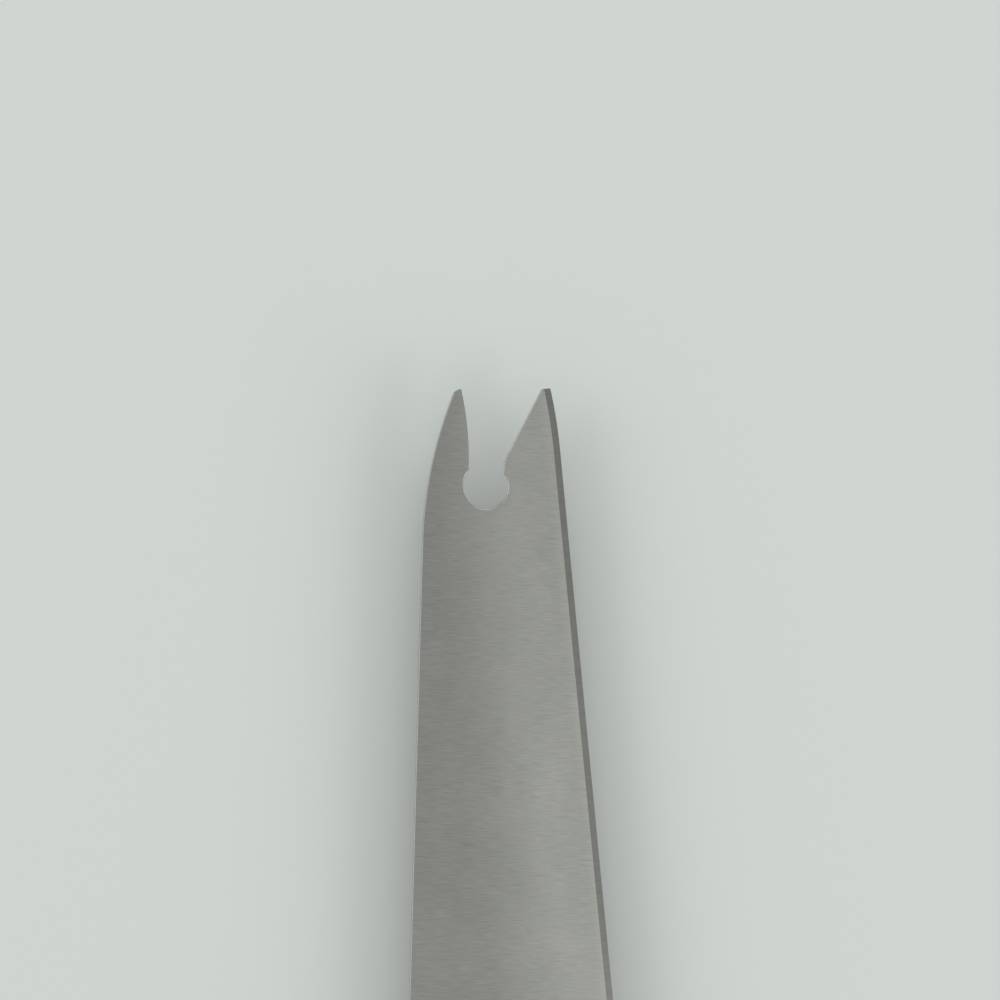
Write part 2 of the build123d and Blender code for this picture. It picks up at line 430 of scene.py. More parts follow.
@cache
def wood_grain() -> bpy.types.NodeTree:
    """Build hardwood as a solid: growth rings round the Y axis, pores, fibres and streaks along it.

    The place is first bent by slow noise. The fibres are noise of many widths, from half a
    millimetre down, and the streaks are broader and longer noise.

    Returns:
        The node group.
    """
    slow_scale, most_bent = (60.0, 15.0, 60.0), (8 * MM, 0.0, 8 * MM)
    fibre_scale, fibre_range = (1 / (0.55 * MM), 1 / (16 * MM), 1 / (0.55 * MM)), (0.32, 0.68)
    streak_scale, streak_range = (1 / (2.4 * MM), 1 / (80 * MM), 1 / (2.4 * MM)), (0.34, 0.68)
    fibre_relief = 0.16

    pattern, given, wanted = new_group(
        "wood_grain",
        {"Ring Spacing": 2.3 * MM, "Pore Length": 2.8 * MM},
        ["Place"],
        ["Rings", "Pores", "Fibres", "Streaks", "Height"],
    )
    slow = pattern.node(
        "ShaderNodeTexNoise",
        {"Vector": pattern.mapped(given["Place"], scale=slow_scale), "Scale": 1.0, "Detail": 3.0},
        noise_dimensions="3D",
    )
    bend = pattern.vector("SUBTRACT", slow.outputs["Color"], (0.5, 0.5, 0.5))
    bent = pattern.vector("ADD", given["Place"], pattern.vector("MULTIPLY", bend, most_bent))
    through_ring, rings = growth_rings(pattern, bent, given["Ring Spacing"])
    pores = open_pores(pattern, bent, given["Pore Length"], through_ring)
    fibre_noise = pattern.noise(pattern.mapped(bent, scale=fibre_scale), detail=5.0, roughness=0.68)
    fibres = pattern.fade(fibre_noise, *fibre_range)
    streak_noise = pattern.noise(pattern.mapped(bent, scale=streak_scale), detail=3.0, roughness=0.55)
    streaks = pattern.fade(streak_noise, *streak_range)
    grooves = pattern.math("MULTIPLY", pores, -1.0)
    height = pattern.math("MULTIPLY_ADD", fibres, fibre_relief, grooves)
    for label, value in (
        ("Rings", rings),
        ("Pores", pores),
        ("Fibres", fibres),
        ("Streaks", streaks),
        ("Height", height),
    ):
        pattern.feed(wanted[label], value)
    return pattern.tree


class Finish(ABC):
    """A finish made of one Principled BSDF, which each kind of finish feeds in its own way."""

    def build(self, name: str) -> bpy.types.Material:
        """Make the material and lay the finish on it.

        Args:
            name: The material's name.

        Returns:
            The material.
        """
        material = bpy.data.materials.new(name)
        material.use_nodes = True
        pattern = Pattern(material.node_tree)
        pattern.tree.nodes.clear()
        shader = pattern.node("ShaderNodeBsdfPrincipled")
        pattern.node("ShaderNodeOutputMaterial", {"Surface": shader.outputs[0]})
        where = pattern.node("ShaderNodeTexCoord").outputs
        self.lay(Skin(pattern.tree, shader.inputs, where))
        return material

    @abstractmethod
    def lay(self, skin: Skin) -> None:
        """Feed the shader's inputs.

        Args:
            skin: The material to fill.
        """


@dataclass(frozen=True)
class BladeSteel(Finish):
    """Stainless sheet, belt-ground across its faces, linished along its spine and honed at its edge.

    A set of lines is given by its spacing and its length, and a range by where it starts and ends,
    all in metres.

    Args:
        pale: The colour on the crest of a line.
        deep: The colour between lines.
        face_lines: The lines across the faces.
        hone_lines: The lines across the honed bevel.
        wall_lines: The lines along the spine and the other narrow walls.
        line_depth: The depth of the lines.
        bevel_tilt: The normal's Z where the honed bevel ends and the ground face starts.
        bevel_reach: How far from the cutting edge a bevel is looked for, in widths of the bevel.
        bevel_shade: How much painted shade darkens the honed bevel.
        edge_to_spine_range: Over what distance from the cutting edge the painted light and shade
            changes.
        edge_brightness: How bright the painted light leaves the face near the cutting edge.
        spine_brightness: How bright the painted shade leaves the face near the spine.
        tips_range: Over what stretch of the knife the painted light falls towards the tips.
        tips_brightness: The painted brightness at its two ends.
        shoulder_width: How wide the painted highlight behind the bevel is.
        shoulder_highlight: How much brighter the painted highlight is.
        smudge_tones: The darkest and palest that smudges leave the steel.
        smudge_roughness: How much rougher a smudge is.
        scratch: The colour of a scratch.
        scratch_share: How much of it shows.
        roughness: The smoothest and roughest finish between the lines.
        edge_polish: How much smoother the rounded edges are.
    """

    pale: Colour = (0.43, 0.414, 0.396, 1.0)
    deep: Colour = (0.35, 0.337, 0.322, 1.0)
    face_lines: Pair = (0.085 * MM, 1.7 * MM)
    hone_lines: Pair = (0.05 * MM, 1.5 * MM)
    wall_lines: Pair = (0.09 * MM, 4 * MM)
    line_depth: float = 0.0022 * MM
    bevel_tilt: Pair = (0.975, 0.99)
    bevel_reach: Pair = (1.1, 1.3)
    bevel_shade: float = 0.5
    edge_to_spine_range: Pair = (4 * MM, 18 * MM)
    edge_brightness: float = 1.18
    spine_brightness: float = 0.84
    tips_range: Pair = (30 * MM, 112 * MM)
    tips_brightness: Pair = (1.08, 0.95)
    shoulder_width: float = 1.1 * MM
    shoulder_highlight: float = 0.07
    smudge_tones: Pair = (0.975, 1.025)
    smudge_roughness: float = 0.05
    scratch: Colour = (0.62, 0.62, 0.6, 1.0)
    scratch_share: float = 0.1
    roughness: Pair = (0.3, 0.38)
    edge_polish: float = 0.08

    def lay(self, skin: Skin) -> None:
        """Lay on the lines, the painted light, highlight and shade, and the marks of handling.

        Args:
            skin: The material to fill.
        """
        place = skin.where["Object"]
        to_heel = skin.vector("SUBTRACT", (HEEL[0] * MM, HEEL[1] * MM, 0.0), place)
        from_edge = skin.vector("DOT_PRODUCT", to_heel, (*ACROSS_EDGE, 0.0))
        parts = skin.group(rounded_edges(), Normal=skin.where["Normal"], Place=place)
        marks = skin.group(handling_marks(), Place=place)
        honed = self.honed(skin, from_edge)
        tone, height = self.lines(skin, honed, parts["Wall"])

        brushed = skin.tint(tone, self.deep, self.pale)
        shade = self.shade(skin, from_edge, honed, marks["Smudges"])
        shaded = skin.vector("MULTIPLY", brushed, skin.join(shade, shade, shade))
        scratches = skin.math("MULTIPLY", marks["Scratches"], self.scratch_share)
        skin.show("Base Color", skin.tint(scratches, shaded, self.scratch))
        rough = skin.span(tone, *self.roughness)
        polished = skin.math("MULTIPLY_ADD", parts["Edge"], -self.edge_polish, rough)
        smudged = skin.math("MULTIPLY_ADD", marks["Smudges"], self.smudge_roughness, polished)
        skin.show("Roughness", smudged)
        skin.show("Metallic", 1.0)
        skin.show("Normal", skin.bump(height, self.line_depth))

    def honed(self, skin: Skin, from_edge: Socket) -> Socket:
        """Mask the honed bevel, which is what tilts a little close behind the cutting edge.

        Args:
            skin: The material to add to.
            from_edge: The distance from the cutting edge's straight line.

        Returns:
            The mask.
        """
        steepness = skin.math("ABSOLUTE", skin.split(skin.where["Normal"])[2])
        tilted = skin.rest(skin.fade(steepness, *self.bevel_tilt))
        start, end = (BEVEL_WIDTH * MM * widths for widths in self.bevel_reach)
        return skin.math("MULTIPLY", tilted, skin.rest(skin.fade(from_edge, start, end)))

    def lines(self, skin: Skin, honed: Socket, wall: Socket) -> tuple[Socket, Socket]:
        """Choose between the lines on the faces, on the honed bevel and on the narrow walls.

        Args:
            skin: The material to add to.
            honed: The mask of the honed bevel.
            wall: The mask of the narrow walls.

        Returns:
            The lines' tone and their height.
        """
        place = skin.where["Object"]
        x, y, z = skin.split(place)
        along_wall = skin.join(y, skin.math("ADD", z, x), x)
        faces, bevel, walls = (
            skin.group(brushed_lines(), Place=lying, Spacing=spacing, Length=length)
            for lying, (spacing, length) in (
                (place, self.face_lines),
                (place, self.hone_lines),
                (along_wall, self.wall_lines),
            )
        )
        tone, height = (
            skin.choose(wall, skin.choose(honed, faces[label], bevel[label]), walls[label])
            for label in ("Tone", "Height")
        )
        return tone, height

    def shade(self, skin: Skin, from_edge: Socket, honed: Socket, smudges: Socket) -> Socket:
        """Work out how bright each part of the steel is, in painted light and shade.

        Args:
            skin: The material to add to.
            from_edge: The distance from the cutting edge's straight line.
            honed: The mask of the honed bevel.
            smudges: The mask of smudges.

        Returns:
            The brightness, around 1.
        """
        y = skin.split(skin.where["Object"])[1]
        # Painted light and shade: brighter towards the cutting edge, darker towards the spine
        towards_spine = skin.fade(from_edge, *self.edge_to_spine_range)
        edge_to_spine_shade = skin.span(towards_spine, self.edge_brightness, self.spine_brightness)
        # Painted light and shade: brighter towards the heel, dimmer towards the tips
        heel_to_tips_shade = skin.span(skin.fade(y, *self.tips_range), *self.tips_brightness)
        bevel = BEVEL_WIDTH * MM
        # Painted highlight in a strip just behind the honed bevel
        shoulder = skin.rest(skin.fade(from_edge, bevel, bevel + self.shoulder_width))
        # Both painted gradients together
        ground = skin.math("MULTIPLY", edge_to_spine_shade, heel_to_tips_shade)
        highlighted = skin.math("MULTIPLY_ADD", shoulder, self.shoulder_highlight, ground)
        smudged = skin.math("MULTIPLY", highlighted, skin.span(smudges, *self.smudge_tones))
        # Painted shade darkens the honed bevel
        return skin.math("MULTIPLY", smudged, skin.span(honed, 1.0, 1.0 - self.bevel_shade))


@dataclass(frozen=True)
class HandleWood(Finish):
    """Oiled hardwood with its grain along the handle.

    A share says how much of its colour shows, and a width is in metres.

    Args:
        pale: The early wood of each ring, and where the wood is worn.
        deep: The late wood of each ring, and the fibres.
        streak: The heartwood streaks.
        pore: The open pores, and where oil and dirt soak in.
        streak_share: The share of the streaks.
        ring_share: The share of the late wood.
        fibre_share: The share of the fibres.
        pore_share: The share of the pores.
        pith: How far the tree's middle lies from the frame's origin, along X and Z.
        turn: The tilt of the grain about X and Z in degrees.
        end_range: The size of the normal's Y where end grain starts and is full.
        end_share: The share of the oil in the end grain.
        joint_width: How far dirt reaches from the tang.
        joint_share: The share of that dirt.
        rivet_width: How far dirt reaches from a rivet.
        rivet_share: The share of that dirt.
        wear_share: How pale the rounded edges are worn.
        roughness: The smoothest and roughest the wood is.
        edge_polish: How much smoother the rounded edges are.
        pore_roughness: How much rougher an open pore is.
        coat: How much oil lies on the wood, between pores and in them.
        groove_depth: The depth of an open pore.
    """

    pale: Colour = (0.395, 0.208, 0.102, 1.0)
    deep: Colour = (0.125, 0.053, 0.025, 1.0)
    streak: Colour = (0.215, 0.098, 0.045, 1.0)
    pore: Colour = (0.04, 0.018, 0.01, 1.0)
    streak_share: float = 0.75
    ring_share: float = 0.85
    fibre_share: float = 0.42
    pore_share: float = 0.7
    pith: Pair = (34 * MM, -58 * MM)
    turn: Pair = (1.6, 2.2)
    end_range: Pair = (0.55, 0.95)
    end_share: float = 0.38
    joint_width: float = 0.35 * MM
    joint_share: float = 0.55
    rivet_width: float = 0.7 * MM
    rivet_share: float = 0.5
    wear_share: float = 0.16
    roughness: Pair = (0.36, 0.52)
    edge_polish: float = 0.07
    pore_roughness: float = 0.25
    coat: Pair = (0.14, 0.0)
    groove_depth: float = 0.05 * MM

    def lay(self, skin: Skin) -> None:
        """Lay on the grain, what soaks into it, the wear of the edges and a thin coat of oil.

        Args:
            skin: The material to fill.
        """
        place = skin.where["Object"]
        to_pith = (-self.pith[0], 0.0, -self.pith[1])
        round_pith = skin.mapped(place, location=to_pith, turn=(self.turn[0], 0.0, self.turn[1]))
        grain = skin.group(wood_grain(), Place=round_pith)
        parts = skin.group(rounded_edges(), Normal=skin.where["Normal"], Place=place)
        marks = skin.group(handling_marks(), Place=place)

        streaks = skin.math("MULTIPLY", grain["Streaks"], self.streak_share)
        streaked = skin.tint(streaks, self.pale, self.streak)
        ringed = skin.tint(skin.math("MULTIPLY", grain["Rings"], self.ring_share), streaked, self.deep)
        fibred = skin.tint(skin.span(grain["Fibres"], self.fibre_share, 0.0), ringed, self.deep)
        pored = skin.tint(skin.math("MULTIPLY", grain["Pores"], self.pore_share), fibred, self.pore)
        darkened = skin.tint(self.soaked(skin), pored, self.pore)
        wear = skin.math("MULTIPLY", parts["Edge"], self.wear_share)
        skin.show("Base Color", skin.tint(wear, darkened, self.pale))

        rough = skin.span(marks["Smudges"], *self.roughness)
        polished = skin.math("MULTIPLY_ADD", parts["Edge"], -self.edge_polish, rough)
        open_grain = skin.math("MULTIPLY_ADD", grain["Pores"], self.pore_roughness, polished)
        skin.show("Roughness", open_grain)
        skin.show("Coat Weight", skin.span(grain["Pores"], *self.coat))
        skin.show("Coat Roughness", 0.3)
        skin.show("IOR", 1.47)
        skin.show("Normal", skin.bump(grain["Height"], self.groove_depth))

    def soaked(self, skin: Skin) -> Socket:
        """Mask the end grain, and where dirt gathers beside the tang and round the rivets.

        Args:
            skin: The material to add to.

        Returns:
            The share of oil or dirt.
        """
        place = skin.where["Object"]
        to_end = skin.math("ABSOLUTE", skin.split(skin.where["Normal"])[1])
        end_grain = skin.math("MULTIPLY", skin.fade(to_end, *self.end_range), self.end_share)

        above_middle = skin.math("SUBTRACT", skin.split(place)[2], HANDLE_THICKNESS / 2 * MM)
        from_middle = skin.math("ABSOLUTE", above_middle)
        tang = SHEET_THICKNESS / 2 * MM
        joint = skin.rest(skin.fade(from_middle, tang, tang + self.joint_width))

        flat_place = skin.vector("MULTIPLY", place, (1.0, 1.0, 0.0))
        first, second, third = (
            skin.vector("DISTANCE", flat_place, (x * MM, y * MM, 0.0)) for x, y in RIVET_PLACES.values()
        )
        nearest = skin.math("MINIMUM", skin.math("MINIMUM", first, second), third)
        head = RIVET_HEAD_RADIUS * MM
        halo = skin.rest(skin.fade(nearest, head, head + self.rivet_width))

        by_rivets = skin.math("MULTIPLY", halo, self.rivet_share)
        by_tang = skin.math("MULTIPLY", joint, self.joint_share)
        return skin.math("MAXIMUM", end_grain, skin.math("MAXIMUM", by_rivets, by_tang))


@dataclass(frozen=True)
class RivetSteel(Finish):
    """Rivet steel, ground flush along the handle, with painted shade round the eased rim of its head.

    Args:
        centre: The rivet's axis, along X and Y in millimetres.
        pale: The colour on the crest of a line.
        deep: The colour between lines.
        lines: The lines' spacing and length in metres.
        line_depth: Their depth in metres.
        rim: The colour of the painted shade round the head's eased rim.
        rim_shade_share: How much of it shows.
        rim_shade_range: Where it starts and is full, in metres from the head's outside.
        scratch: The colour of a scratch.
        scratch_share: How much of it shows.
        roughness: The smoothest and roughest finish between the lines.
    """

    centre: Pair
    pale: Colour = (0.56, 0.555, 0.53, 1.0)
    deep: Colour = (0.44, 0.436, 0.415, 1.0)
    lines: Pair = (0.16 * MM, 7 * MM)
    line_depth: float = 0.005 * MM
    rim: Colour = (0.08, 0.07, 0.06, 1.0)
    rim_shade_share: float = 0.7
    rim_shade_range: Pair = (0.22 * MM, 0.05 * MM)
    scratch: Colour = (0.68, 0.68, 0.66, 1.0)
    scratch_share: float = 0.4
    roughness: Pair = (0.26, 0.38)

    def lay(self, skin: Skin) -> None:
        """Lay on lines along the handle, the painted shade at the rim and the marks of handling.

        Args:
            skin: The material to fill.
        """
        place = skin.where["Object"]
        x, y, z = skin.split(place)
        marks = skin.group(handling_marks(), Place=place)
        spacing, length = self.lines
        lengthwise = skin.join(y, x, z)
        lines = skin.group(brushed_lines(), Place=lengthwise, Spacing=spacing, Length=length)
        axis = (self.centre[0] * MM, self.centre[1] * MM, 0.0)
        from_axis = skin.vector("DISTANCE", skin.vector("MULTIPLY", place, (1.0, 1.0, 0.0)), axis)
        # Painted shade: a dark ring over the head's eased rim, where it meets the wood
        start, end = (RIVET_HEAD_RADIUS * MM - inside for inside in self.rim_shade_range)
        rim = skin.math("MULTIPLY", skin.fade(from_axis, start, end), self.rim_shade_share)
        rim_shaded = skin.tint(rim, skin.tint(lines["Tone"], self.deep, self.pale), self.rim)
        scratches = skin.math("MULTIPLY", marks["Scratches"], self.scratch_share)
        skin.show("Base Color", skin.tint(scratches, rim_shaded, self.scratch))
        skin.show("Roughness", skin.span(lines["Tone"], *self.roughness))
        skin.show("Metallic", 1.0)
        skin.show("Normal", skin.bump(lines["Height"], self.line_depth))


@dataclass(frozen=True)
class StudioPaper(Finish):
    """Plain pale paper under the knife.

    Args:
        colour: The paper's colour.
        fleck_tone: How dark its finest flecks are.
        fleck_scale: How many flecks lie side by side in a metre.
    """

    colour: Colour = PALE_GREY
    fleck_tone: float = 0.985
    fleck_scale: float = 900.0

    def lay(self, skin: Skin) -> None:
        """Lay on dull paper with faint flecks.

        Args:
            skin: The material to fill.
        """
        fleck_place = skin.mapped(skin.where["Object"], scale=(self.fleck_scale,) * 3)
        darker = (*(self.fleck_tone * part for part in self.colour[:3]), 1.0)
        skin.show("Base Color", skin.tint(skin.noise(fleck_place, detail=3.0), darker, self.colour))
        skin.show("Roughness", 0.9)
        skin.show("Specular IOR Level", 0.1)


def unit(direction: ArrayLike) -> np.ndarray:
    """Scale a flat direction to length one."""
    arrow = np.asarray(direction, float)
    return arrow / np.linalg.norm(arrow)


def joined(*stretches: ArrayLike) -> np.ndarray:
    """Join stretches of outline end to end, without the points that two of them share.

    Args:
        stretches: The stretches in order, each with one point a row.

    Returns:
        All their points, one a row.
    """
    points = np.concatenate(stretches)
    apart = np.linalg.norm(np.diff(points, axis=0), axis=1) > SAME_POINT
    return points[np.concatenate([[True], apart])]


def arc(centre: ArrayLike, start: ArrayLike, end: ArrayLike, step: float = 3.0) -> np.ndarray:
    """Follow a circle the short way round.

    A point is the centre plus the radius times (cos a, sin a), with the angles a evenly spaced.

    Args:
        centre: The circle's centre.
        start: The first point.
        end: The last point.
        step: The widest angle between points in degrees.

    Returns:
        The points, one a row.
    """
    first = np.asarray(start, float) - centre
    last = np.asarray(end, float) - centre
    begin = np.arctan2(first[1], first[0])
    sweep = (np.arctan2(last[1], last[0]) - begin + pi) % (2 * pi) - pi
    count = max(2, ceil(abs(sweep) / radians(step)) + 1)
    angles = begin + np.linspace(0.0, sweep, count)
    radii = np.linspace(np.linalg.norm(first), np.linalg.norm(last), count)
    return centre + radii[:, None] * np.stack([np.cos(angles), np.sin(angles)], axis=1)


def tangent_centre(start: np.ndarray, direction: np.ndarray, end: np.ndarray) -> np.ndarray:
    """Find the centre of the circle that leaves start in a direction and passes through end.

    The centre lies square to the direction, at the chord squared over twice the chord's own
    reach to that side.

    Args:
        start: Where the circle is left from.
        direction: Its direction there, of length one.
        end: The other point.

    Returns:
        The centre.
    """
    chord = end - start
    side = np.array([-direction[1], direction[0]])
    return start + side * (chord @ chord) / (2.0 * chord @ side)


def leaving_direction(centre: np.ndarray, point: np.ndarray, onward: np.ndarray) -> np.ndarray:
    """Give the circle's direction at a point, the way that leads onward.

    Args:
        centre: The circle's centre.
        point: The point on the circle.
        onward: Roughly where the circle goes on to.

    Returns:
        A direction of length one.
    """
    spoke = unit(point - centre)
    along = np.array([-spoke[1], spoke[0]])
    return along if along @ onward > 0 else -along


def centre_through(first: np.ndarray, second: np.ndarray, third: np.ndarray) -> np.ndarray:
    """Find the centre of the circle through three points, which is equally far from each."""
    rows = 2.0 * np.stack([second - first, third - first])
    return np.linalg.solve(rows, [second @ second - first @ first, third @ third - first @ first])


def crossing(
    first: np.ndarray, first_radius: float, second: np.ndarray, second_radius: float, near: np.ndarray
) -> np.ndarray:
    """Find where two circles cross.

    Args:
        first: The first circle's centre.
        first_radius: Its radius.
        second: The second circle's centre.
        second_radius: Its radius.
        near: The crossing nearest to this point is the one wanted.

    Returns:
        The crossing.
    """
    gap = np.linalg.norm(second - first)
    across = (second - first) / gap
    reach = (first_radius**2 - second_radius**2 + gap**2) / (2.0 * gap)
    rise = np.sqrt(first_radius**2 - reach**2)
    square = np.array([-across[1], across[0]])
    both = first + across * reach + np.outer([rise, -rise], square)
    return both[np.argmin(np.linalg.norm(both - near, axis=1))]


def rounded_corner(
    corner: ArrayLike, arriving: ArrayLike, leaving: ArrayLike, radius: float, step: float = 8.0
) -> np.ndarray:
    """Round a corner between two straight runs with an arc that touches both.

    The arc starts and ends at the radius times the tangent of half the turn from the corner.

    Args:
        corner: The sharp corner.
        arriving: The direction that leads to it.
        leaving: The direction that leads away.
        radius: The arc's radius.
        step: The widest angle between points in degrees.

    Returns:
        The arc's points, one a row.
    """
    inward, outward = unit(arriving), unit(leaving)
    turn = np.arccos(np.clip(inward @ outward, -1.0, 1.0))
    reach = radius * np.tan(turn / 2)
    start = np.asarray(corner) - inward * reach
    side = unit(outward - inward * (inward @ outward))
    return arc(start + side * radius, start, np.asarray(corner) + outward * reach, step)


def numbered(*grids: np.ndarray) -> list[np.ndarray]:
    """Number the points of several grids in one run, each grid keeping its own shape.

    Args:
        grids: The grids, with X and Y along the last axis.

    Returns:
        Each grid's numbers.
    """
    sizes = [grid[..., 0].size for grid in grids]
    numbers = np.split(np.arange(sum(sizes)), np.cumsum(sizes)[:-1])
    return [own.reshape(grid.shape[:-1]) for own, grid in zip(numbers, grids)]


def quads(index: np.ndarray, closed: bool = False) -> np.ndarray:
    """Join neighbouring points of a grid into four-sided faces.

    A face goes from a point to the next row, to the next column and back by the first row.

    Args:
        index: The points' numbers, by row and column.
        closed: Whether the last row is joined to the first.

    Returns:
        The faces, one a row.
    """
    onward = np.roll(index, -1, axis=0)
    if not closed:
        index, onward = index[:-1], onward[:-1]
    corners = (index[:, :-1], onward[:, :-1], onward[:, 1:], index[:, 1:])
    return np.stack(corners, axis=-1).reshape(-1, 4)


@dataclass(frozen=True)
class HandleOutline:
    """The handle's outline in millimetres, which the tang shares with both scales.

    Args:
        front: The upper front corner, on the spine line.
        height: How deep the handle's front is.
        length: How long the handle is.
        back_straight: How far the back runs straight.
        back_drop: How far the back has dropped at the butt.
        waist: The finger waist's depth, and its distance behind the front.
        palm_start: Where the palm swell starts.
        palm_end: Where the palm swell ends.
        hook_end: The tip of the small hook.
        butt_bulge: How far the butt's curve stands out.
        back_rounding: The radius between the back and the butt.
        hook_rounding: The radius between the butt and the hook.
    """

    front: Pair = (-15.15, 1.5)
    height: float = 20.0
    length: float = 115.0
    back_straight: float = 34.0
    back_drop: float = 2.4
    waist: Pair = (18.1, 24.0)
    palm_start: Pair = (19.7, 48.0)
    palm_end: Pair = (21.2, 92.0)
    hook_end: Pair = (25.4, 112.8)
    butt_bulge: float = 2.2
    back_rounding: float = 8.0
    hook_rounding: float = 6.5

    def spot(self, depth: float, behind: float) -> np.ndarray:
        """Place a point by its depth below the back and its distance behind the front."""
        return np.array([self.front[0] + depth, self.front[1] - behind])

    def butt(self) -> tuple[np.ndarray, float, np.ndarray]:
        """Fit the butt's circle through the ends of the back and the hook.

        Returns:
            Its centre, its radius and its hindmost point.
        """
        back_end = self.spot(self.back_drop, self.length - self.butt_bulge)
        hook_end = self.spot(*self.hook_end)
        hindmost = self.spot((self.back_drop + self.hook_end[0]) / 2, self.length)
        centre = centre_through(back_end, hindmost, hook_end)
        return centre, float(np.linalg.norm(hindmost - centre)), hindmost

    def back(self) -> np.ndarray:
        """Follow the back from the front corner down to the butt's hindmost point.

        Returns:
            The points, one a row.
        """
        bend = self.spot(0.0, self.back_straight)
        back_end = self.spot(self.back_drop, self.length - self.butt_bulge)
        centre = tangent_centre(bend, np.array([0.0, -1.0]), back_end)
        radius = float(np.linalg.norm(bend - centre))
        butt_centre, butt_radius, hindmost = self.butt()
        rounding = self.back_rounding
        middle = crossing(centre, radius - rounding, butt_centre, butt_radius - rounding, back_end)
        leave = middle + unit(middle - centre) * rounding
        join = middle + unit(middle - butt_centre) * rounding
        return joined(
            [self.front],
            arc(centre, bend, leave, step=0.2),
            arc(middle, leave, join, step=5.0),
            arc(butt_centre, join, hindmost, step=1.0),
        )

    def underside(self) -> np.ndarray:
        """Follow the underside from the butt's hindmost point up to the lower front corner.

        Returns:
            The points, one a row.
        """
        corner = self.spot(self.height, 0.0)
        waist, palm_start = self.spot(*self.waist), self.spot(*self.palm_start)
        palm_end, hook_end = self.spot(*self.palm_end), self.spot(*self.hook_end)
        waist_centre = centre_through(corner, waist, palm_start)
        down = np.array([0.0, -1.0])
        past_waist = leaving_direction(waist_centre, palm_start, down)
        palm_centre = tangent_centre(palm_start, past_waist, palm_end)
        past_palm = leaving_direction(palm_centre, palm_end, down)
        hook_centre = tangent_centre(palm_end, past_palm, hook_end)
        hook_radius = float(np.linalg.norm(palm_end - hook_centre))
        butt_centre, butt_radius, hindmost = self.butt()
        rounding = self.hook_rounding
        middle = crossing(
            hook_centre, hook_radius + rounding, butt_centre, butt_radius - rounding, hook_end
        )
        leave = middle + unit(middle - butt_centre) * rounding
        join = middle - unit(middle - hook_centre) * rounding
        return joined(
            arc(butt_centre, hindmost, leave, step=1.0),
            arc(middle, leave, join, step=5.0),
            arc(hook_centre, join, palm_end, step=1.0),
            arc(palm_centre, palm_end, palm_start, step=0.6),
            arc(waist_centre, palm_start, corner, step=0.6),
        )


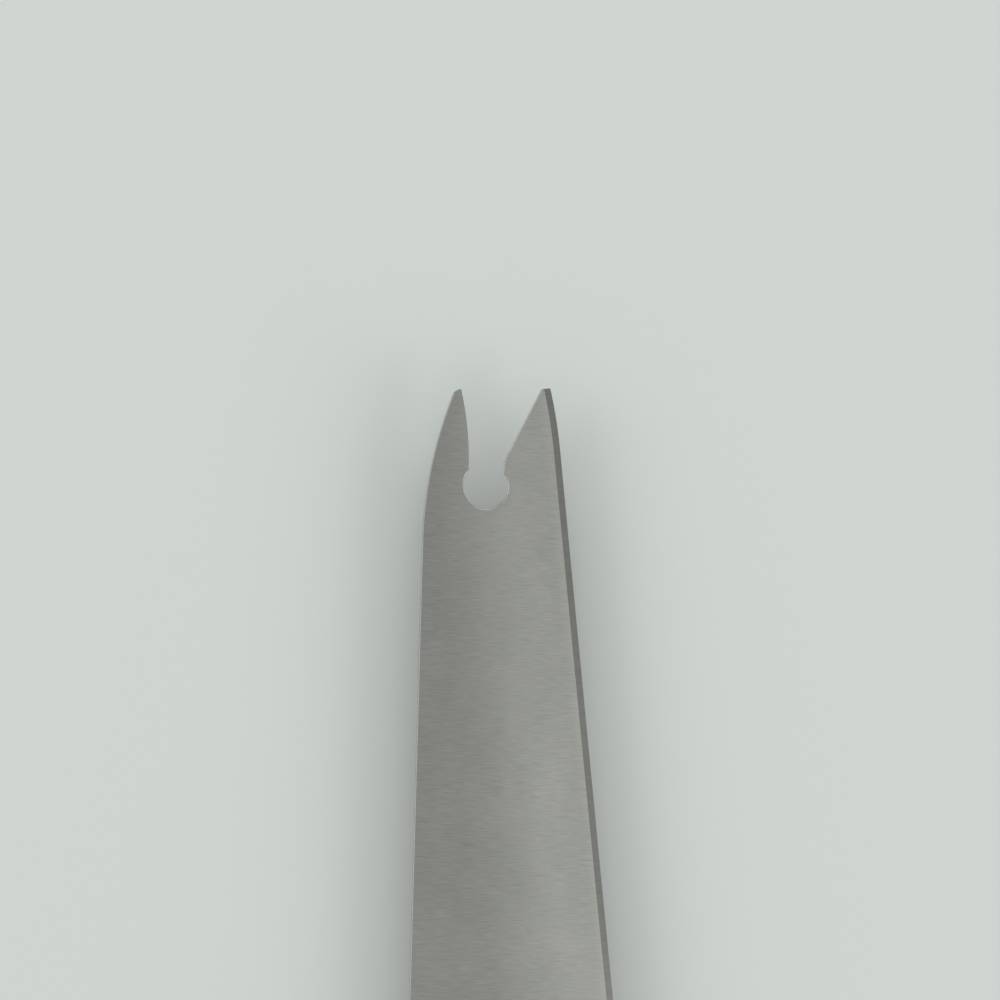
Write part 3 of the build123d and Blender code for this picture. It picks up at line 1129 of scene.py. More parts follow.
@dataclass(frozen=True)
class ForkOutline:
    """The forked tip's outline in millimetres, with its places given from the punched hole's middle.

    Args:
        middle: The middle of the hole, in the knife's own place.
        hole: The hole's radius.
        neck: Half the width of the neck that leads out of the hole.
        foot: The radius between the hole and the neck.
        bend_height: How high the neck's right side runs straight.
        bend: The radius on which it leans out.
        right_inner: The right tip's inner corner.
        top: How high the cutting edge ends.
        rise_height: How high the neck's left side runs straight.
        left_inner: The left tip's inner corner.
        left_outer: The left tip's outer corner.
        spine_curve: How far below the hole's middle the spine starts to curve.
        right_roundings: The radii of the right tip's outer and inner corners.
        left_roundings: The radii of the left tip's inner and outer corners.
        left_room: How far short of these corners the curves end, in radii of the roundings.
    """

    middle: Pair = (-6.95, 100.25)
    hole: float = 3.0
    neck: float = 2.29
    foot: float = 0.25
    bend_height: float = 3.2
    bend: float = 1.5
    right_inner: Pair = (7.07, 13.1)
    top: float = 13.25
    rise_height: float = 2.5
    left_inner: Pair = (-3.6, 12.95)
    left_outer: Pair = (-4.55, 12.35)
    spine_curve: float = 7.75
    right_roundings: Pair = (0.12, 0.22)
    left_roundings: Pair = (0.2, 0.3)
    left_room: Pair = (1.5, 0.5)

    @property
    def tips_y(self) -> float:
        """Say where along the knife the cutting edge ends."""
        return self.middle[1] + self.top

    def spot(self, right: float, up: float) -> np.ndarray:
        """Place a point by how far right of the hole's middle and above it is."""
        return np.array(self.middle) + (right, up)

    def right_tip(self, heel: Pair, bevel: float) -> np.ndarray:
        """Follow the right tip from the cutting edge to where the honed bevel ends.

        Args:
            heel: The corner that the cutting edge starts from.
            bevel: The honed bevel's width.

        Returns:
            The points, one a row.
        """
        outer = np.array([heel[0] + (heel[1] - self.tips_y) * tan(EDGE_TAPER), self.tips_y])
        across_tip = unit(self.spot(*self.right_inner) - outer)
        bevel_end = outer + across_tip * bevel / abs(across_tip @ ACROSS_EDGE)
        rounding = rounded_corner(outer, ALONG_EDGE, across_tip, self.right_roundings[0])
        return joined(rounding, [bevel_end])

    def right_prong(self, bevel_end: np.ndarray) -> np.ndarray:
        """Follow the right tip's inner corner and the prong down to the hole.

        Args:
            bevel_end: Where the honed bevel ends on the tip.

        Returns:
            The points, one a row.
        """
        inner = self.spot(*self.right_inner)
        bend = self.spot(self.neck, self.bend_height)
        return joined(
            rounded_corner(inner, inner - bevel_end, bend - inner, self.right_roundings[1]),
            rounded_corner(bend, bend - inner, (0.0, -1.0), self.bend, step=3.0),
        )

    def punched_hole(self) -> np.ndarray:
        """Follow the hole from the right side of the neck round to the left.

        The small radius at each side of the neck touches both the neck and the hole, so its middle
        is a foot radius outside each.

        Returns:
            The points, one a row.
        """
        foot_x = self.neck + self.foot
        foot_y = np.sqrt((self.hole + self.foot) ** 2 - foot_x**2)
        hole_x, hole_y = np.array([foot_x, foot_y]) * self.hole / (self.hole + self.foot)
        right_foot, left_foot = self.spot(foot_x, foot_y), self.spot(-foot_x, foot_y)
        right, left = self.spot(hole_x, hole_y), self.spot(-hole_x, hole_y)
        bottom = self.spot(0.0, -self.hole)
        return joined(
            arc(right_foot, self.spot(self.neck, foot_y), right, step=8.0),
            arc(self.middle, right, bottom),
            arc(self.middle, bottom, left),
            arc(left_foot, left, self.spot(-self.neck, foot_y), step=8.0),
        )

    def left_prong(self, spine_x: float) -> np.ndarray:
        """Follow the left prong up to its tip and down to where the spine runs straight.

        Args:
            spine_x: The spine's line.

        Returns:
            The points, one a row.
        """
        places = ((-self.neck, self.rise_height), self.left_inner, self.left_outer)
        foot, inner, outer = (self.spot(*place) for place in places)
        up, down = np.array([0.0, 1.0]), np.array([0.0, -1.0])
        middle = tangent_centre(foot, up, inner)
        curve_start = np.array([spine_x, self.middle[1] - self.spine_curve])
        curve_middle = tangent_centre(curve_start, up, outer)
        arriving = leaving_direction(middle, inner, up)
        leaving = leaving_direction(curve_middle, outer, down)
        inner_side = arc(middle, foot, inner, step=0.5)
        spine_side = arc(curve_middle, outer, curve_start, step=0.6)
        inner_rounding, outer_rounding = self.left_roundings
        inner_room, outer_room = (
            room * rounding for room, rounding in zip(self.left_room, self.left_roundings)
        )
        return joined(
            inner_side[np.linalg.norm(inner_side - inner, axis=1) > inner_room],
            rounded_corner(inner, arriving, outer - inner, inner_rounding),
            rounded_corner(outer, outer - inner, leaving, outer_rounding),
            spine_side[np.linalg.norm(spine_side - outer, axis=1) > outer_room],
        )


@dataclass(frozen=True)
class BladeShape:
    """The blade's outline and grind in millimetres.

    Args:
        handle: The tang's outline.
        fork: The forked tip's outline.
        heel: The sharp corner that the heel is rounded from, on the cutting edge.
        heel_rounding: The radius there.
        heel_points: How far before the heel the outline has points, for the easing to fade over.
        choil: The radius between the heel and the handle.
        thickness: The sheet's thickness.
        shoulder_thickness: The thickness behind the honed bevel.
        edge_thickness: The cutting edge's own thickness.
        bevel: The honed bevel's width.
        belly: How far the cutting edge stands out from its straight line at most.
        belly_start: Where along the knife it starts to stand out.
        belly_top: Where it stands out the most.
        belly_power: How slowly it starts to.
        lower_strip: Where the bevel's lower strip of faces lies: how far past the heel it starts,
            how far short of the belly's top it ends, and how many points it has.
        upper_strip: Where the upper one lies: how far short of the belly's top it starts, how far
            short of the tips it ends, and how many points it has.
        ground_width: How far the grinding reaches from the cutting edge.
        plunge: The radius on which the grinding runs out.
        plunge_columns: How many columns the run-out's grid has.
        easing: The radius on the blunt edges.
        easing_steps: How many facets the easing has.
        easing_start: Where the easing starts, just in front of the handle.
        easing_fade: Over what length it grows to its full radius there.
        easing_points: Where the spine has points for that, in shares of the length.
        heel_fade: Over what length the easing grows from the heel.
        tip_fade: Over what length it grows from the bevel's end at the tip.
        rivet_hole: The radius of the tang's rivet holes.
        hole_steps: How many steps go round a rivet hole, an even number.
    """

    handle: HandleOutline = HandleOutline()
    fork: ForkOutline = ForkOutline()
    heel: Pair = HEEL
    heel_rounding: float = 0.8
    heel_points: Pair = (2.0, 1.2)
    choil: float = 5.5
    thickness: float = SHEET_THICKNESS
    shoulder_thickness: float = 0.5
    edge_thickness: float = 0.06
    bevel: float = BEVEL_WIDTH
    belly: float = 0.46
    belly_start: float = 30.0
    belly_top: float = 105.0
    belly_power: float = 1.2
    lower_strip: tuple[float, float, int] = (3.0, 5.0, 28)
    upper_strip: tuple[float, float, int] = (4.5, 0.35, 24)
    ground_width: float = 30.3 * cos(EDGE_TAPER)
    plunge: float = 6.0
    plunge_columns: int = 24
    easing: float = 0.16
    easing_steps: int = 4
    easing_start: float = 1.6
    easing_fade: float = 0.8
    easing_points: tuple[float, ...] = (1.25, 0.75, 0.375, 0.0)
    heel_fade: float = 1.0
    tip_fade: float = 0.25
    rivet_hole: float = 2.54
    hole_steps: int = 48

    def from_edge(self, points: np.ndarray) -> np.ndarray:
        """Measure how far points are from the cutting edge's line."""
        return (np.array(self.heel) - points) @ ACROSS_EDGE

    def behind_heel(self, points: np.ndarray) -> np.ndarray:
        """Measure how far points are behind the heel, along the cutting edge."""
        return (np.array(self.heel) - points) @ ALONG_EDGE

    def belly_at(self, y: np.ndarray) -> np.ndarray:
        """Find how far the cutting edge stands out from its straight line.

        It grows as the share of the way from the belly's start to its top, to the belly's power.
        Beyond the top it is lessened by the square of the share of the way on to the tips.

        Args:
            y: Places along the knife.

        Returns:
            The distance at each.
        """
        way_up = (y - self.belly_start) / (self.belly_top - self.belly_start)
        way_on = (y - self.belly_top) / (self.fork.tips_y - self.belly_top)
        rise = np.clip(way_up, 0.0, None) ** self.belly_power
        return self.belly * rise * (1.0 - np.clip(way_on, 0.0, 1.0) ** 2)

    def edge_lines(self) -> tuple[np.ndarray, np.ndarray]:
        """Follow the cutting edge and the shoulder behind its honed bevel, from heel to tips.

        Returns:
            The points of each, one a row, with each pair square to the edge's straight line.
        """
        past_heel, short_of_top, lower_count = self.lower_strip
        before_top, short_of_tips, upper_count = self.upper_strip
        lower = np.linspace(self.heel[1] + past_heel, self.belly_top - short_of_top, lower_count)
        upper = np.linspace(self.belly_top - before_top, self.fork.tips_y - short_of_tips, upper_count)
        y = np.concatenate([lower, upper])
        straight = np.stack([self.heel[0] + (self.heel[1] - y) * tan(EDGE_TAPER), y], axis=1)
        edge = straight + self.belly_at(y)[:, None] * ACROSS_EDGE
        return edge, edge - self.bevel * ACROSS_EDGE

    def run_out(self, from_full: np.ndarray) -> np.ndarray:
        """Find how far behind the heel the run-out reaches full thickness.

        The grinding's depth grows evenly from the line at which it starts to the shoulder. A
        circle of the plunge radius r has risen by a depth d at a distance of the root of r squared
        less (r - d) squared.

        Args:
            from_full: The distance from the line at which the grinding starts.

        Returns:
            The distance behind the heel.
        """
        depth = (self.thickness - self.shoulder_thickness) / 2
        deep = depth * from_full / (self.ground_width - self.bevel)
        return np.sqrt(self.plunge**2 - (self.plunge - deep) ** 2)

    def half_thickness(self, points: np.ndarray) -> np.ndarray:
        """Work out half the blade's thickness.

        It is the least of the full sheet, the ground plane with the run-out's circle added behind
        the heel, and the honed bevel.

        Args:
            points: Places in the blade's plane, with X and Y along the last axis.

        Returns:
            Half the thickness at each.
        """
        full, shoulder, edge = (
            size / 2 for size in (self.thickness, self.shoulder_thickness, self.edge_thickness)
        )
        distance = self.from_edge(points)
        rise = (full - shoulder) / (self.ground_width - self.bevel)
        ground = shoulder + rise * (distance - self.bevel)
        behind = np.clip(self.behind_heel(points), 0.0, self.plunge)
        run_out = self.plunge - np.sqrt(self.plunge**2 - behind**2)
        honed = edge + (shoulder - edge) * (distance + self.belly_at(points[..., 1])) / self.bevel
        return np.minimum(np.minimum(full, ground + run_out), honed)

    def outline(self) -> tuple[np.ndarray, dict[str, int]]:
        """Follow the whole outline anticlockwise from the butt's hindmost point.

        Returns:
            The points, one a row, and the places of the corners that the faces meet at.
        """
        front_x = self.handle.front[0]
        heel_x, heel_y = self.heel
        inner_corner = (front_x + self.handle.height, heel_y)
        ground_left = self.ground_width - (heel_x - front_x - self.easing) * cos(EDGE_TAPER)
        slope_start = heel_y - ground_left / sin(EDGE_TAPER)
        choil = joined(
            rounded_corner(inner_corner, (0.0, 1.0), (1.0, 0.0), self.choil, step=1.2),
            [(heel_x - before, heel_y) for before in self.heel_points],
        )
        heel = rounded_corner(self.heel, (1.0, 0.0), ALONG_EDGE, self.heel_rounding, step=6.0)
        right_tip = joined(self.edge_lines()[0], self.fork.right_tip(self.heel, self.bevel))
        rest = joined(
            self.fork.right_prong(right_tip[-1]),
            self.fork.punched_hole(),
            self.fork.left_prong(front_x),
        )
        fading = self.easing_start + self.easing_fade * np.array(self.easing_points)
        spine_y = np.append(slope_start, fading)
        spine = np.stack([np.full_like(spine_y, front_x), spine_y], axis=1)
        back = self.handle.back()[:-1]
        stretches = [self.handle.underside(), choil, heel, right_tip, rest, spine, back]
        starts = np.cumsum([len(stretch) for stretch in stretches]).tolist()
        corners = {
            "choil": starts[0],
            "heel": starts[1],
            "edge_start": starts[2],
            "bevel_end": starts[3] - 1,
            "slope_start": starts[4],
        }
        return np.concatenate(stretches), corners

    def inward(self, points: np.ndarray) -> np.ndarray:
        """Give each point of a closed outline its mitred inward direction.

        The direction is square to the mean of the two runs that meet there, and is lengthened by
        one over the cosine of half their turn, so that the offset runs stay parallel.

        Args:
            points: The outline, anticlockwise.

        Returns:
            The directions, one a row.
        """
        runs = np.roll(points, -1, axis=0) - points
        runs /= np.linalg.norm(runs, axis=1, keepdims=True)
        squares = np.stack([-runs[:, 1], runs[:, 0]], axis=1)
        before = np.roll(squares, 1, axis=0)
        total = squares + before
        return total / (1.0 + np.sum(squares * before, axis=1, keepdims=True))

    def eased_rings(
        self, points: np.ndarray, corners: dict[str, int]
    ) -> tuple[np.ndarray, np.ndarray]:
        """Carry the outline inwards over the easing's quarter circle.

        A ring lies inwards by the radius times (1 - cos a), and below the face by the radius times
        (1 - sin a). The radius is nothing behind the easing's start and along the honed edge, and
        grows evenly from there, from the heel and from the bevel's end.

        Args:
            points: The outline.
            corners: The places of its corners.

        Returns:
            The points as an array of outline by rings by X and Y, and their heights.
        """
        heel, bevel_end = corners["heel"], corners["bevel_end"]
        radius = np.clip((points[:, 1] - self.easing_start) / self.easing_fade, 0.0, 1.0)
        for corner, fade in ((heel, self.heel_fade), (bevel_end, self.tip_fade)):
            away = np.linalg.norm(points - points[corner], axis=1)
            radius *= np.clip(away / fade, 0.0, 1.0)
        radius[heel : bevel_end + 1] = 0.0
        radius *= self.easing
        angles = np.linspace(0.0, pi / 2, self.easing_steps + 1)
        offsets = radius[:, None] * (1.0 - np.cos(angles))
        rings = points[:, None, :] + self.inward(points)[:, None, :] * offsets[:, :, None]
        return rings, self.half_thickness(rings) - radius[:, None] * (1.0 - np.sin(angles))

    def run_out_grid(
        self, inner: np.ndarray, corners: dict[str, int]
    ) -> tuple[np.ndarray, np.ndarray]:
        """Work out the grid over the grinding's run-out.

        A row crosses from where the grinding starts, at the spine, to a point of the choil. The
        first row is on the line square to the edge at the heel, the last is where the run-out
        reaches full thickness, and between them a row is as far on as its choil point is.

        Args:
            inner: The outline's innermost ring.
            corners: The places of the outline's corners.

        Returns:
            The points as an array of rows by columns by X and Y, and the choil point of each row.
        """
        near_choil = np.arange(corners["choil"], corners["heel"])
        behind = self.behind_heel(inner[near_choil])
        from_full = self.ground_width - self.from_edge(inner[near_choil])
        reach = self.run_out(from_full)
        first = np.flatnonzero(behind >= reach)[-1]
        last = np.flatnonzero(behind > 0.0)[-1] + 1
        rows = np.arange(last, first - 1, -1)
        share = np.clip((behind / reach)[rows], 0.0, 1.0)
        share[0], share[-1] = 0.0, 1.0
        columns = np.arange(self.plunge_columns) / self.plunge_columns
        widths = columns * from_full[rows][:, None]
        across = (self.ground_width - widths)[..., None] * ACROSS_EDGE
        along = (share[:, None] * self.run_out(widths))[..., None] * ALONG_EDGE
        return np.array(self.heel) - across - along, near_choil[rows]

    def rivet_holes(self) -> np.ndarray:
        """Follow each rivet hole in the tang clockwise from its hindmost point, rear hole first.

        A point is the centre plus the radius times (cos a, sin a), for angles a that fall evenly.

        Returns:
            The points, as an array of holes by points by X and Y.
        """
        centres = np.array([*RIVET_PLACES.values()])[::-1]
        angles = -pi / 2 - np.arange(self.hole_steps) * (2 * pi / self.hole_steps)
        circle = self.rivet_hole * np.stack([np.cos(angles), np.sin(angles)], axis=1)
        return centres[:, None, :] + circle

    def bevel_faces(
        self, edge: np.ndarray, shoulder: np.ndarray, corners: dict[str, int]
    ) -> list[np.ndarray]:
        """Go round the flat faces of the honed bevel, from the heel to the tip.

        Args:
            edge: The numbers of the outline's innermost ring.
            shoulder: The numbers of the points on the shoulder.
            corners: The places of the outline's corners.

        Returns:
            The faces.
        """
        start = corners["edge_start"]
        end = start + len(shoulder)
        strip = quads(np.stack([edge[start:end], shoulder], axis=1))
        return [
            np.append(edge[corners["heel"] : start + 1], shoulder[0]),
            *strip,
            np.append(edge[end - 1 : corners["bevel_end"] + 1], shoulder[-1]),
        ]

    def sheet_faces(
        self, edge: np.ndarray, far_row: np.ndarray, holes: np.ndarray, parting: int, start: int
    ) -> list[np.ndarray]:
        """Go round the two flat halves of the full sheet.

        They meet on a line from the butt through the three rivet holes to the run-out. The spine's
        half takes the spine side of each hole, and the edge's half the other.

        Args:
            edge: The numbers of the outline's innermost ring.
            far_row: The numbers of the run-out's last row, with its choil point at the end.
            holes: The numbers of the points round each hole, rear hole first.
            parting: The column of that row where the line ends.
            start: Where along the outline the full sheet's spine starts.

        Returns:
            The spine's half and the edge's half.
        """
        top = self.hole_steps // 2
        choil_end = int(np.flatnonzero(edge == far_row[-1])[0])
        spine_sides = holes[:, : top + 1]
        edge_sides = np.roll(holes[::-1], -top, axis=1)[:, : top + 1]
        spine_half = [edge[start:], edge[:1], spine_sides.ravel(), far_row[parting::-1]]
        edge_half = [edge[: choil_end + 1], far_row[parting:-1][::-1], edge_sides.ravel()]
        return [np.concatenate(spine_half), np.concatenate(edge_half)]

    def surface(self) -> tuple[np.ndarray, list[list[int]], int]:
        """Work out the blade and tang as one closed surface.

        The upper side is the outline carried inwards over the easing, a grid over the grinding's
        run-out, a strip of flat faces along the honed bevel, the flat ground face, and the full
        sheet with the tang. The lower side is the mirror image, and walls join them round the
        outline and in the rivet holes.

        Returns:
            The vertices in millimetres, the faces, and how many of the first faces are flat.
        """
        points, corners = self.outline()
        rings, ring_heights = self.eased_rings(points, corners)
        run_out, choil_points = self.run_out_grid(rings[:, -1], corners)
        shoulder, holes = self.edge_lines()[1], self.rivet_holes()
        inside = (run_out, shoulder, holes)
        heights = [ring_heights.ravel(), *(self.half_thickness(grid).ravel() for grid in inside)]
        places = np.concatenate([grid.reshape(-1, 2) for grid in (rings, *inside)])
        upper = np.column_stack([places, np.concatenate(heights)])

        ring_index, grid_index, shoulder_index, hole_index = numbered(rings, *inside)
        edge = ring_index[:, -1]
        grid_index = np.concatenate([grid_index, edge[choil_points][:, None]], axis=1)
        slope_start, top = corners["slope_start"], self.hole_steps // 2
        ground = [
            edge[corners["bevel_end"] : slope_start + 1],
            grid_index[0, :-1],
            edge[choil_points[0] : corners["heel"] + 1],
            shoulder_index,
        ]
        parting = int(np.argmin(np.abs(run_out[-1, :, 0] - holes[-1, top, 0])))
        flats = [
            np.concatenate(ground),
            *self.sheet_faces(edge, grid_index[-1], hole_index, parting, slope_start),
            *self.bevel_faces(edge, shoulder_index, corners),
        ]
        curved = np.concatenate([quads(ring_index, closed=True), quads(grid_index)])
        size = len(upper)
        rims = (ring_index[:, 0], *hole_index)
        walls = [quads(np.stack([rim + size, rim], axis=1), closed=True) for rim in rims]
        faces = [
            *(face.tolist() for face in flats),
            *((face[::-1] + size).tolist() for face in flats),
            *curved.tolist(),
            *(curved[:, ::-1] + size).tolist(),
            *np.concatenate(walls).tolist(),
        ]
        return np.concatenate([upper, upper * (1.0, 1.0, -1.0)]), faces, 2 * len(flats)


def turned(profile: Sequence[Pair], segments: int = 96) -> tuple[np.ndarray, list[list[int]]]:
    """Turn a profile round the Z axis.

    A point is (radius times cos a, radius times sin a, height) for angles a evenly round the axis.

    Args:
        profile: Radii and heights, going anticlockwise when the radius points right and up is up.
        segments: How many steps go round.

    Returns:
        The vertices and the faces.
    """
    radii, heights = np.array(profile, float).T
    angles = np.arange(segments) * (2 * pi / segments)
    x = radii[:, None] * np.cos(angles)
    y = radii[:, None] * np.sin(angles)
    z = np.broadcast_to(heights[:, None], x.shape)
    vertices = np.stack([x, y, z], axis=-1)
    (index,) = numbered(vertices)
    return vertices.reshape(-1, 3), quads(index.T, closed=True).tolist()


def new_piece(
    name: str,
    vertices: np.ndarray,
    faces: list[list[int]],
    material: bpy.types.Material,
    flats: int = 0,
) -> bpy.types.Object:
    """Make a piece of the knife from a surface in millimetres.

    Points that coincide are joined, so seams and poles are closed. Curved faces are smooth except
    over sharp turns.

    Args:
        name: The piece's name.
        vertices: The vertices, one a row.
        faces: The faces.
        material: The finish.
        flats: How many of the first faces are flat.

    Returns:
        The piece, at the origin.
    """
    mesh = bpy.data.meshes.new(name)
    mesh.from_pydata((vertices * MM).tolist(), [], faces)
    mesh.polygons.foreach_set("use_smooth", np.arange(len(faces)) >= flats)
    edit = bmesh.new()
    edit.from_mesh(mesh)
    bmesh.ops.remove_doubles(edit, verts=edit.verts, dist=SAME_POINT * MM)
    edit.to_mesh(mesh)
    edit.free()

    # Marking the sharp turns clears the flat shading, so it is kept and put back
    smooth = np.empty(len(mesh.polygons), bool)
    mesh.polygons.foreach_get("use_smooth", smooth)
    mesh.set_sharp_from_angle(angle=SHARP_TURN)
    mesh.polygons.foreach_set("use_smooth", smooth)

    mesh.materials.append(material)
    piece = bpy.data.objects.new(name, mesh)
    bpy.context.scene.collection.objects.link(piece)
    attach(piece, "root")
    log.info("%s: %d faces, %s", name, len(mesh.polygons), material.name)
    return piece


def dress(node: str, material: bpy.types.Material) -> None:
    """Give a CAD node a new material in each of its slots.

    Args:
        node: The node's name.
        material: Its finish.
    """
    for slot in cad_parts[node].material_slots:
        slot.material = material
    log.info("%s: dressed in %s", node, material.name)


@dataclass
class Blade:
    """The blade and full tang.

    Args:
        shape: The outline and grind.
        finish: The steel's finish.
    """

    shape: BladeShape = field(default_factory=BladeShape)
    finish: BladeSteel = field(default_factory=BladeSteel)

    def build(self) -> None:
        """Build the blade in place of its CAD node, and keep it inside that node's box."""
        vertices, faces, flats = self.shape.surface()
        low, high = (np.array(corner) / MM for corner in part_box("blade"))
        lifted = np.clip(vertices + (0.0, 0.0, HANDLE_THICKNESS / 2), low, high)
        piece = new_piece("ground_blade", lifted, faces, self.finish.build("blade_steel_ground"), flats)
        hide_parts("blade")


@dataclass
class Handle:
    """The two scales on either side of the tang, cut from neighbouring boards.

    Args:
        finishes: Each side's own piece of wood.
    """

    finishes: dict[Side, HandleWood] = field(
        default_factory=lambda: {
            Side.UPPER: HandleWood(),
            Side.LOWER: HandleWood(pith=(-41 * MM, 66 * MM), turn=(-1.2, -2.6)),
        }
    )

    def build(self) -> None:
        """Dress both scales."""
        for side, finish in self.finishes.items():
            dress(f"{side.value}_scale", finish.build(f"handle_wood_{side.value}"))


@dataclass
class Rivets:
    """The three two-piece rivets, with sizes in millimetres.

    Args:
        head_radius: The radius of both heads.
        head_depth: How thick a head is.
        barrel_radius: The radius of the barrel's shank.
        bore_radius: The radius of the hole in it.
        pin_radius: The radius of the pin's shank.
        pin_end: How far above the lower face the pin ends.
        rim: How much the rim of a head is eased by the grinding.
        rim_points: How many points the eased rim has.
    """

    head_radius: float = RIVET_HEAD_RADIUS
    head_depth: float = 2.2
    barrel_radius: float = 2.5
    bore_radius: float = 1.64
    pin_radius: float = 1.6
    pin_end: float = 3.0
    rim: float = 0.09
    rim_points: int = 5

    def barrel(self) -> list[Pair]:
        """Draw the barrel's profile, headed on the lower face.

        Returns:
            Radii and heights.
        """
        shoulder = HANDLE_THICKNESS - self.head_depth
        return [
            (0.0, 0.0),
            *self.eased_rim(self.rim, 1.0),
            (self.head_radius, self.head_depth),
            (self.barrel_radius, self.head_depth),
            (self.barrel_radius, shoulder),
            (self.bore_radius, shoulder),
            (self.bore_radius, self.head_depth),
            (0.0, self.head_depth),
        ]

    def pin(self) -> list[Pair]:
        """Draw the pin's profile, headed on the upper face.

        Returns:
            Radii and heights.
        """
        shoulder = HANDLE_THICKNESS - self.head_depth
        return [
            (0.0, self.pin_end),
            (self.pin_radius, self.pin_end),
            (self.pin_radius, shoulder),
            (self.head_radius, shoulder),
            *reversed(self.eased_rim(HANDLE_THICKNESS - self.rim, -1.0)),
            (0.0, HANDLE_THICKNESS),
        ]

    def eased_rim(self, level: float, outward: float) -> list[Pair]:
        """Draw the quarter circle on a head's rim, from the flat of the head outwards.

        A point is the circle's centre plus its radius times (sin a, minus or plus cos a).

        Args:
            level: The height of the quarter circle's centre.
            outward: 1 where the head faces down, -1 where it faces up.

        Returns:
            Radii and heights.
        """
        angles = np.linspace(0.0, pi / 2, self.rim_points)
        radii = self.head_radius - self.rim + self.rim * np.sin(angles)
        heights = level - outward * self.rim * np.cos(angles)
        return list(zip(radii.tolist(), heights.tolist()))

    def build(self) -> None:
        """Build both halves of each rivet in place of their CAD nodes."""
        for name, centre in RIVET_PLACES.items():
            material = RivetSteel(centre).build(f"rivet_steel_{name}")
            for half, profile in (("barrel", self.barrel()), ("pin", self.pin())):
                vertices, faces = turned(profile)
                placed = vertices + (*centre, 0.0)
                piece = new_piece(f"{name}_turned_{half}", placed, faces, material)
                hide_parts(f"{name}_rivet_{half}")


@dataclass(frozen=True)
class Lamp:
    """One square soft lamp that faces the knife.

    Args:
        name: The lamp's name.
        place: Where it hangs, in metres.
        size: Its side in metres.
        power: Its power in watts.
    """

    name: str
    place: tuple[float, float, float]
    size: float
    power: float

    def hang(self) -> None:
        """Hang the lamp and turn it to the knife."""
        lamp = bpy.data.lights.new(self.name, "AREA")
        lamp.size = self.size
        lamp.energy = self.power
        holder = bpy.data.objects.new(self.name, lamp)
        holder.location = self.place
        holder.rotation_euler = (-Vector(self.place)).to_track_quat("-Z", "Y").to_euler()
        bpy.context.scene.collection.objects.link(holder)
        log.info("%s: %.1f W over %.1f m", self.name, self.power, self.size)


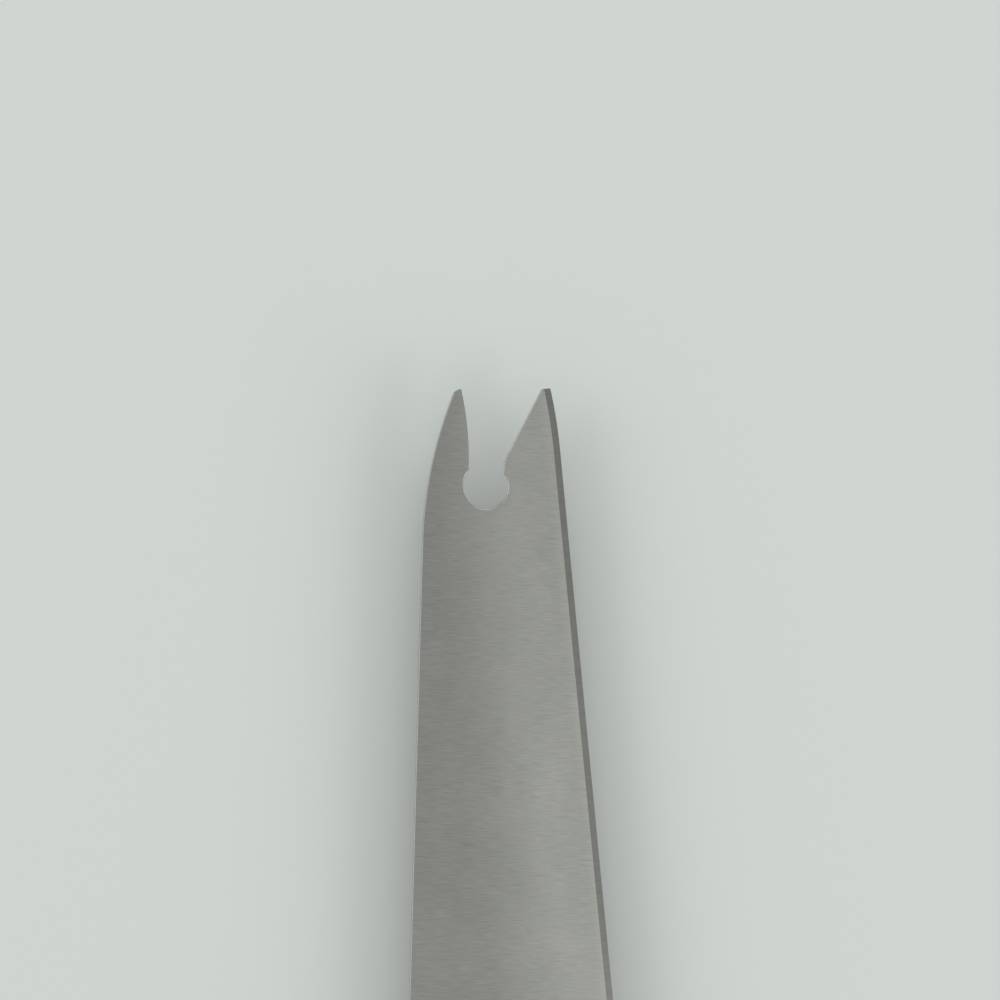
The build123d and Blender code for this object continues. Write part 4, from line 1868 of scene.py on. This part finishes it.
@dataclass
class Studio:
    """The floor, the pale surroundings and the soft lamps.

    Args:
        paper: The floor's finish.
        floor_size: The floor's width and length in metres.
        floor_drop: How far the floor lies under the knife, in metres.
        background: The colour of the surroundings.
        fill: How strongly the surroundings light the knife and floor.
        lamps: The lamps.
    """

    paper: StudioPaper = field(default_factory=StudioPaper)
    floor_size: float = 6.0
    floor_drop: float = 0.02 * MM
    background: Colour = PALE_GREY
    fill: float = 0.7
    lamps: tuple[Lamp, ...] = (
        Lamp("right_window", (1.35, -0.73, 0.95), 1.0, 9.0),
        Lamp("left_window", (-1.3, 0.22, 1.1), 1.1, 5.5),
        Lamp("far_window", (0.1, 1.52, 1.1), 1.0, 4.5),
    )

    def build(self) -> None:
        """Build the floor, the world and the lamps."""
        self.lay_floor()
        self.light_world()
        for lamp in self.lamps:
            lamp.hang()

    def lay_floor(self) -> None:
        """Lay a flat floor just under the knife, as a grid of two by two corners."""
        half = self.floor_size / 2
        x, y = np.meshgrid([-half, half], [-half, half])
        corners = np.stack([x.ravel(), y.ravel(), np.full(4, -self.floor_drop)], axis=1)
        mesh = bpy.data.meshes.new("floor")
        mesh.from_pydata(corners.tolist(), [], [(0, 1, 3, 2)])
        mesh.materials.append(self.paper.build("studio_paper"))
        floor = bpy.data.objects.new("floor", mesh)
        bpy.context.scene.collection.objects.link(floor)
        log.info("floor: %.1f m square", self.floor_size)

    def light_world(self) -> None:
        """Show the pale background to the camera and in gloss, and light the rest by the fill."""
        world = bpy.data.worlds.new("pale_surroundings")
        bpy.context.scene.world = world
        world.use_nodes = True
        pattern = Pattern(world.node_tree)
        pattern.tree.nodes.clear()
        rays = pattern.node("ShaderNodeLightPath").outputs
        seen = pattern.math("MAXIMUM", rays["Is Camera Ray"], rays["Is Glossy Ray"])
        shown = pattern.math("MAXIMUM", seen, rays["Is Transmission Ray"])
        backdrop = pattern.node("ShaderNodeBackground", {"Color": self.background})
        soft_light = pattern.node(
            "ShaderNodeBackground", {"Color": (1.0, 1.0, 1.0, 1.0), "Strength": self.fill}
        )
        inputs = {0: shown, 1: soft_light.outputs[0], 2: backdrop.outputs[0]}
        both = pattern.node("ShaderNodeMixShader", inputs)
        pattern.node("ShaderNodeOutputWorld", {"Surface": both.outputs[0]})


@dataclass
class PhotoCamera:
    """The camera straight above the forked end, as in the photograph.

    Args:
        aim: The point under the middle of the picture, on the blade's upper face.
        height: How far the camera is above that point.
        picture_width: How wide a stretch of the blade's plane the picture shows.
        roll: The camera's turn about its own line of sight in degrees.
        sensor_width: The width of the camera's sensor in millimetres.
        clip: The nearest and farthest that it sees.
    """

    aim: tuple[float, float, float] = (-4.966 * MM, 98.502 * MM, 8.7 * MM)
    height: float = 0.7
    picture_width: float = 132.5 * MM
    roll: float = 1.59
    sensor_width: float = 36.0
    clip: Pair = (0.01, 50.0)

    def build(self) -> None:
        """Place the camera and make it the scene's own."""
        camera = bpy.data.cameras.new("camera")
        camera.sensor_width = self.sensor_width
        camera.lens = self.sensor_width * self.height / self.picture_width
        camera.clip_start, camera.clip_end = self.clip
        holder = bpy.data.objects.new("camera", camera)
        holder.location = Vector(self.aim) + Vector((0.0, 0.0, self.height))
        holder.rotation_euler = (0.0, 0.0, radians(self.roll))
        bpy.context.scene.collection.objects.link(holder)
        bpy.context.scene.camera = holder
        log.info("camera: %.0f mm lens, %.2f m above the blade", camera.lens, self.height)


def main() -> None:
    """Dress the knife, light it and set the camera, in that order."""
    logging.basicConfig(level=logging.INFO, format="%(name)s: %(message)s")
    bpy.context.scene.view_settings.view_transform = "Standard"
    for assembly in (Blade(), Handle(), Rivets(), Studio(), PhotoCamera()):
        assembly.build()


if __name__ == "__main__":
    main()
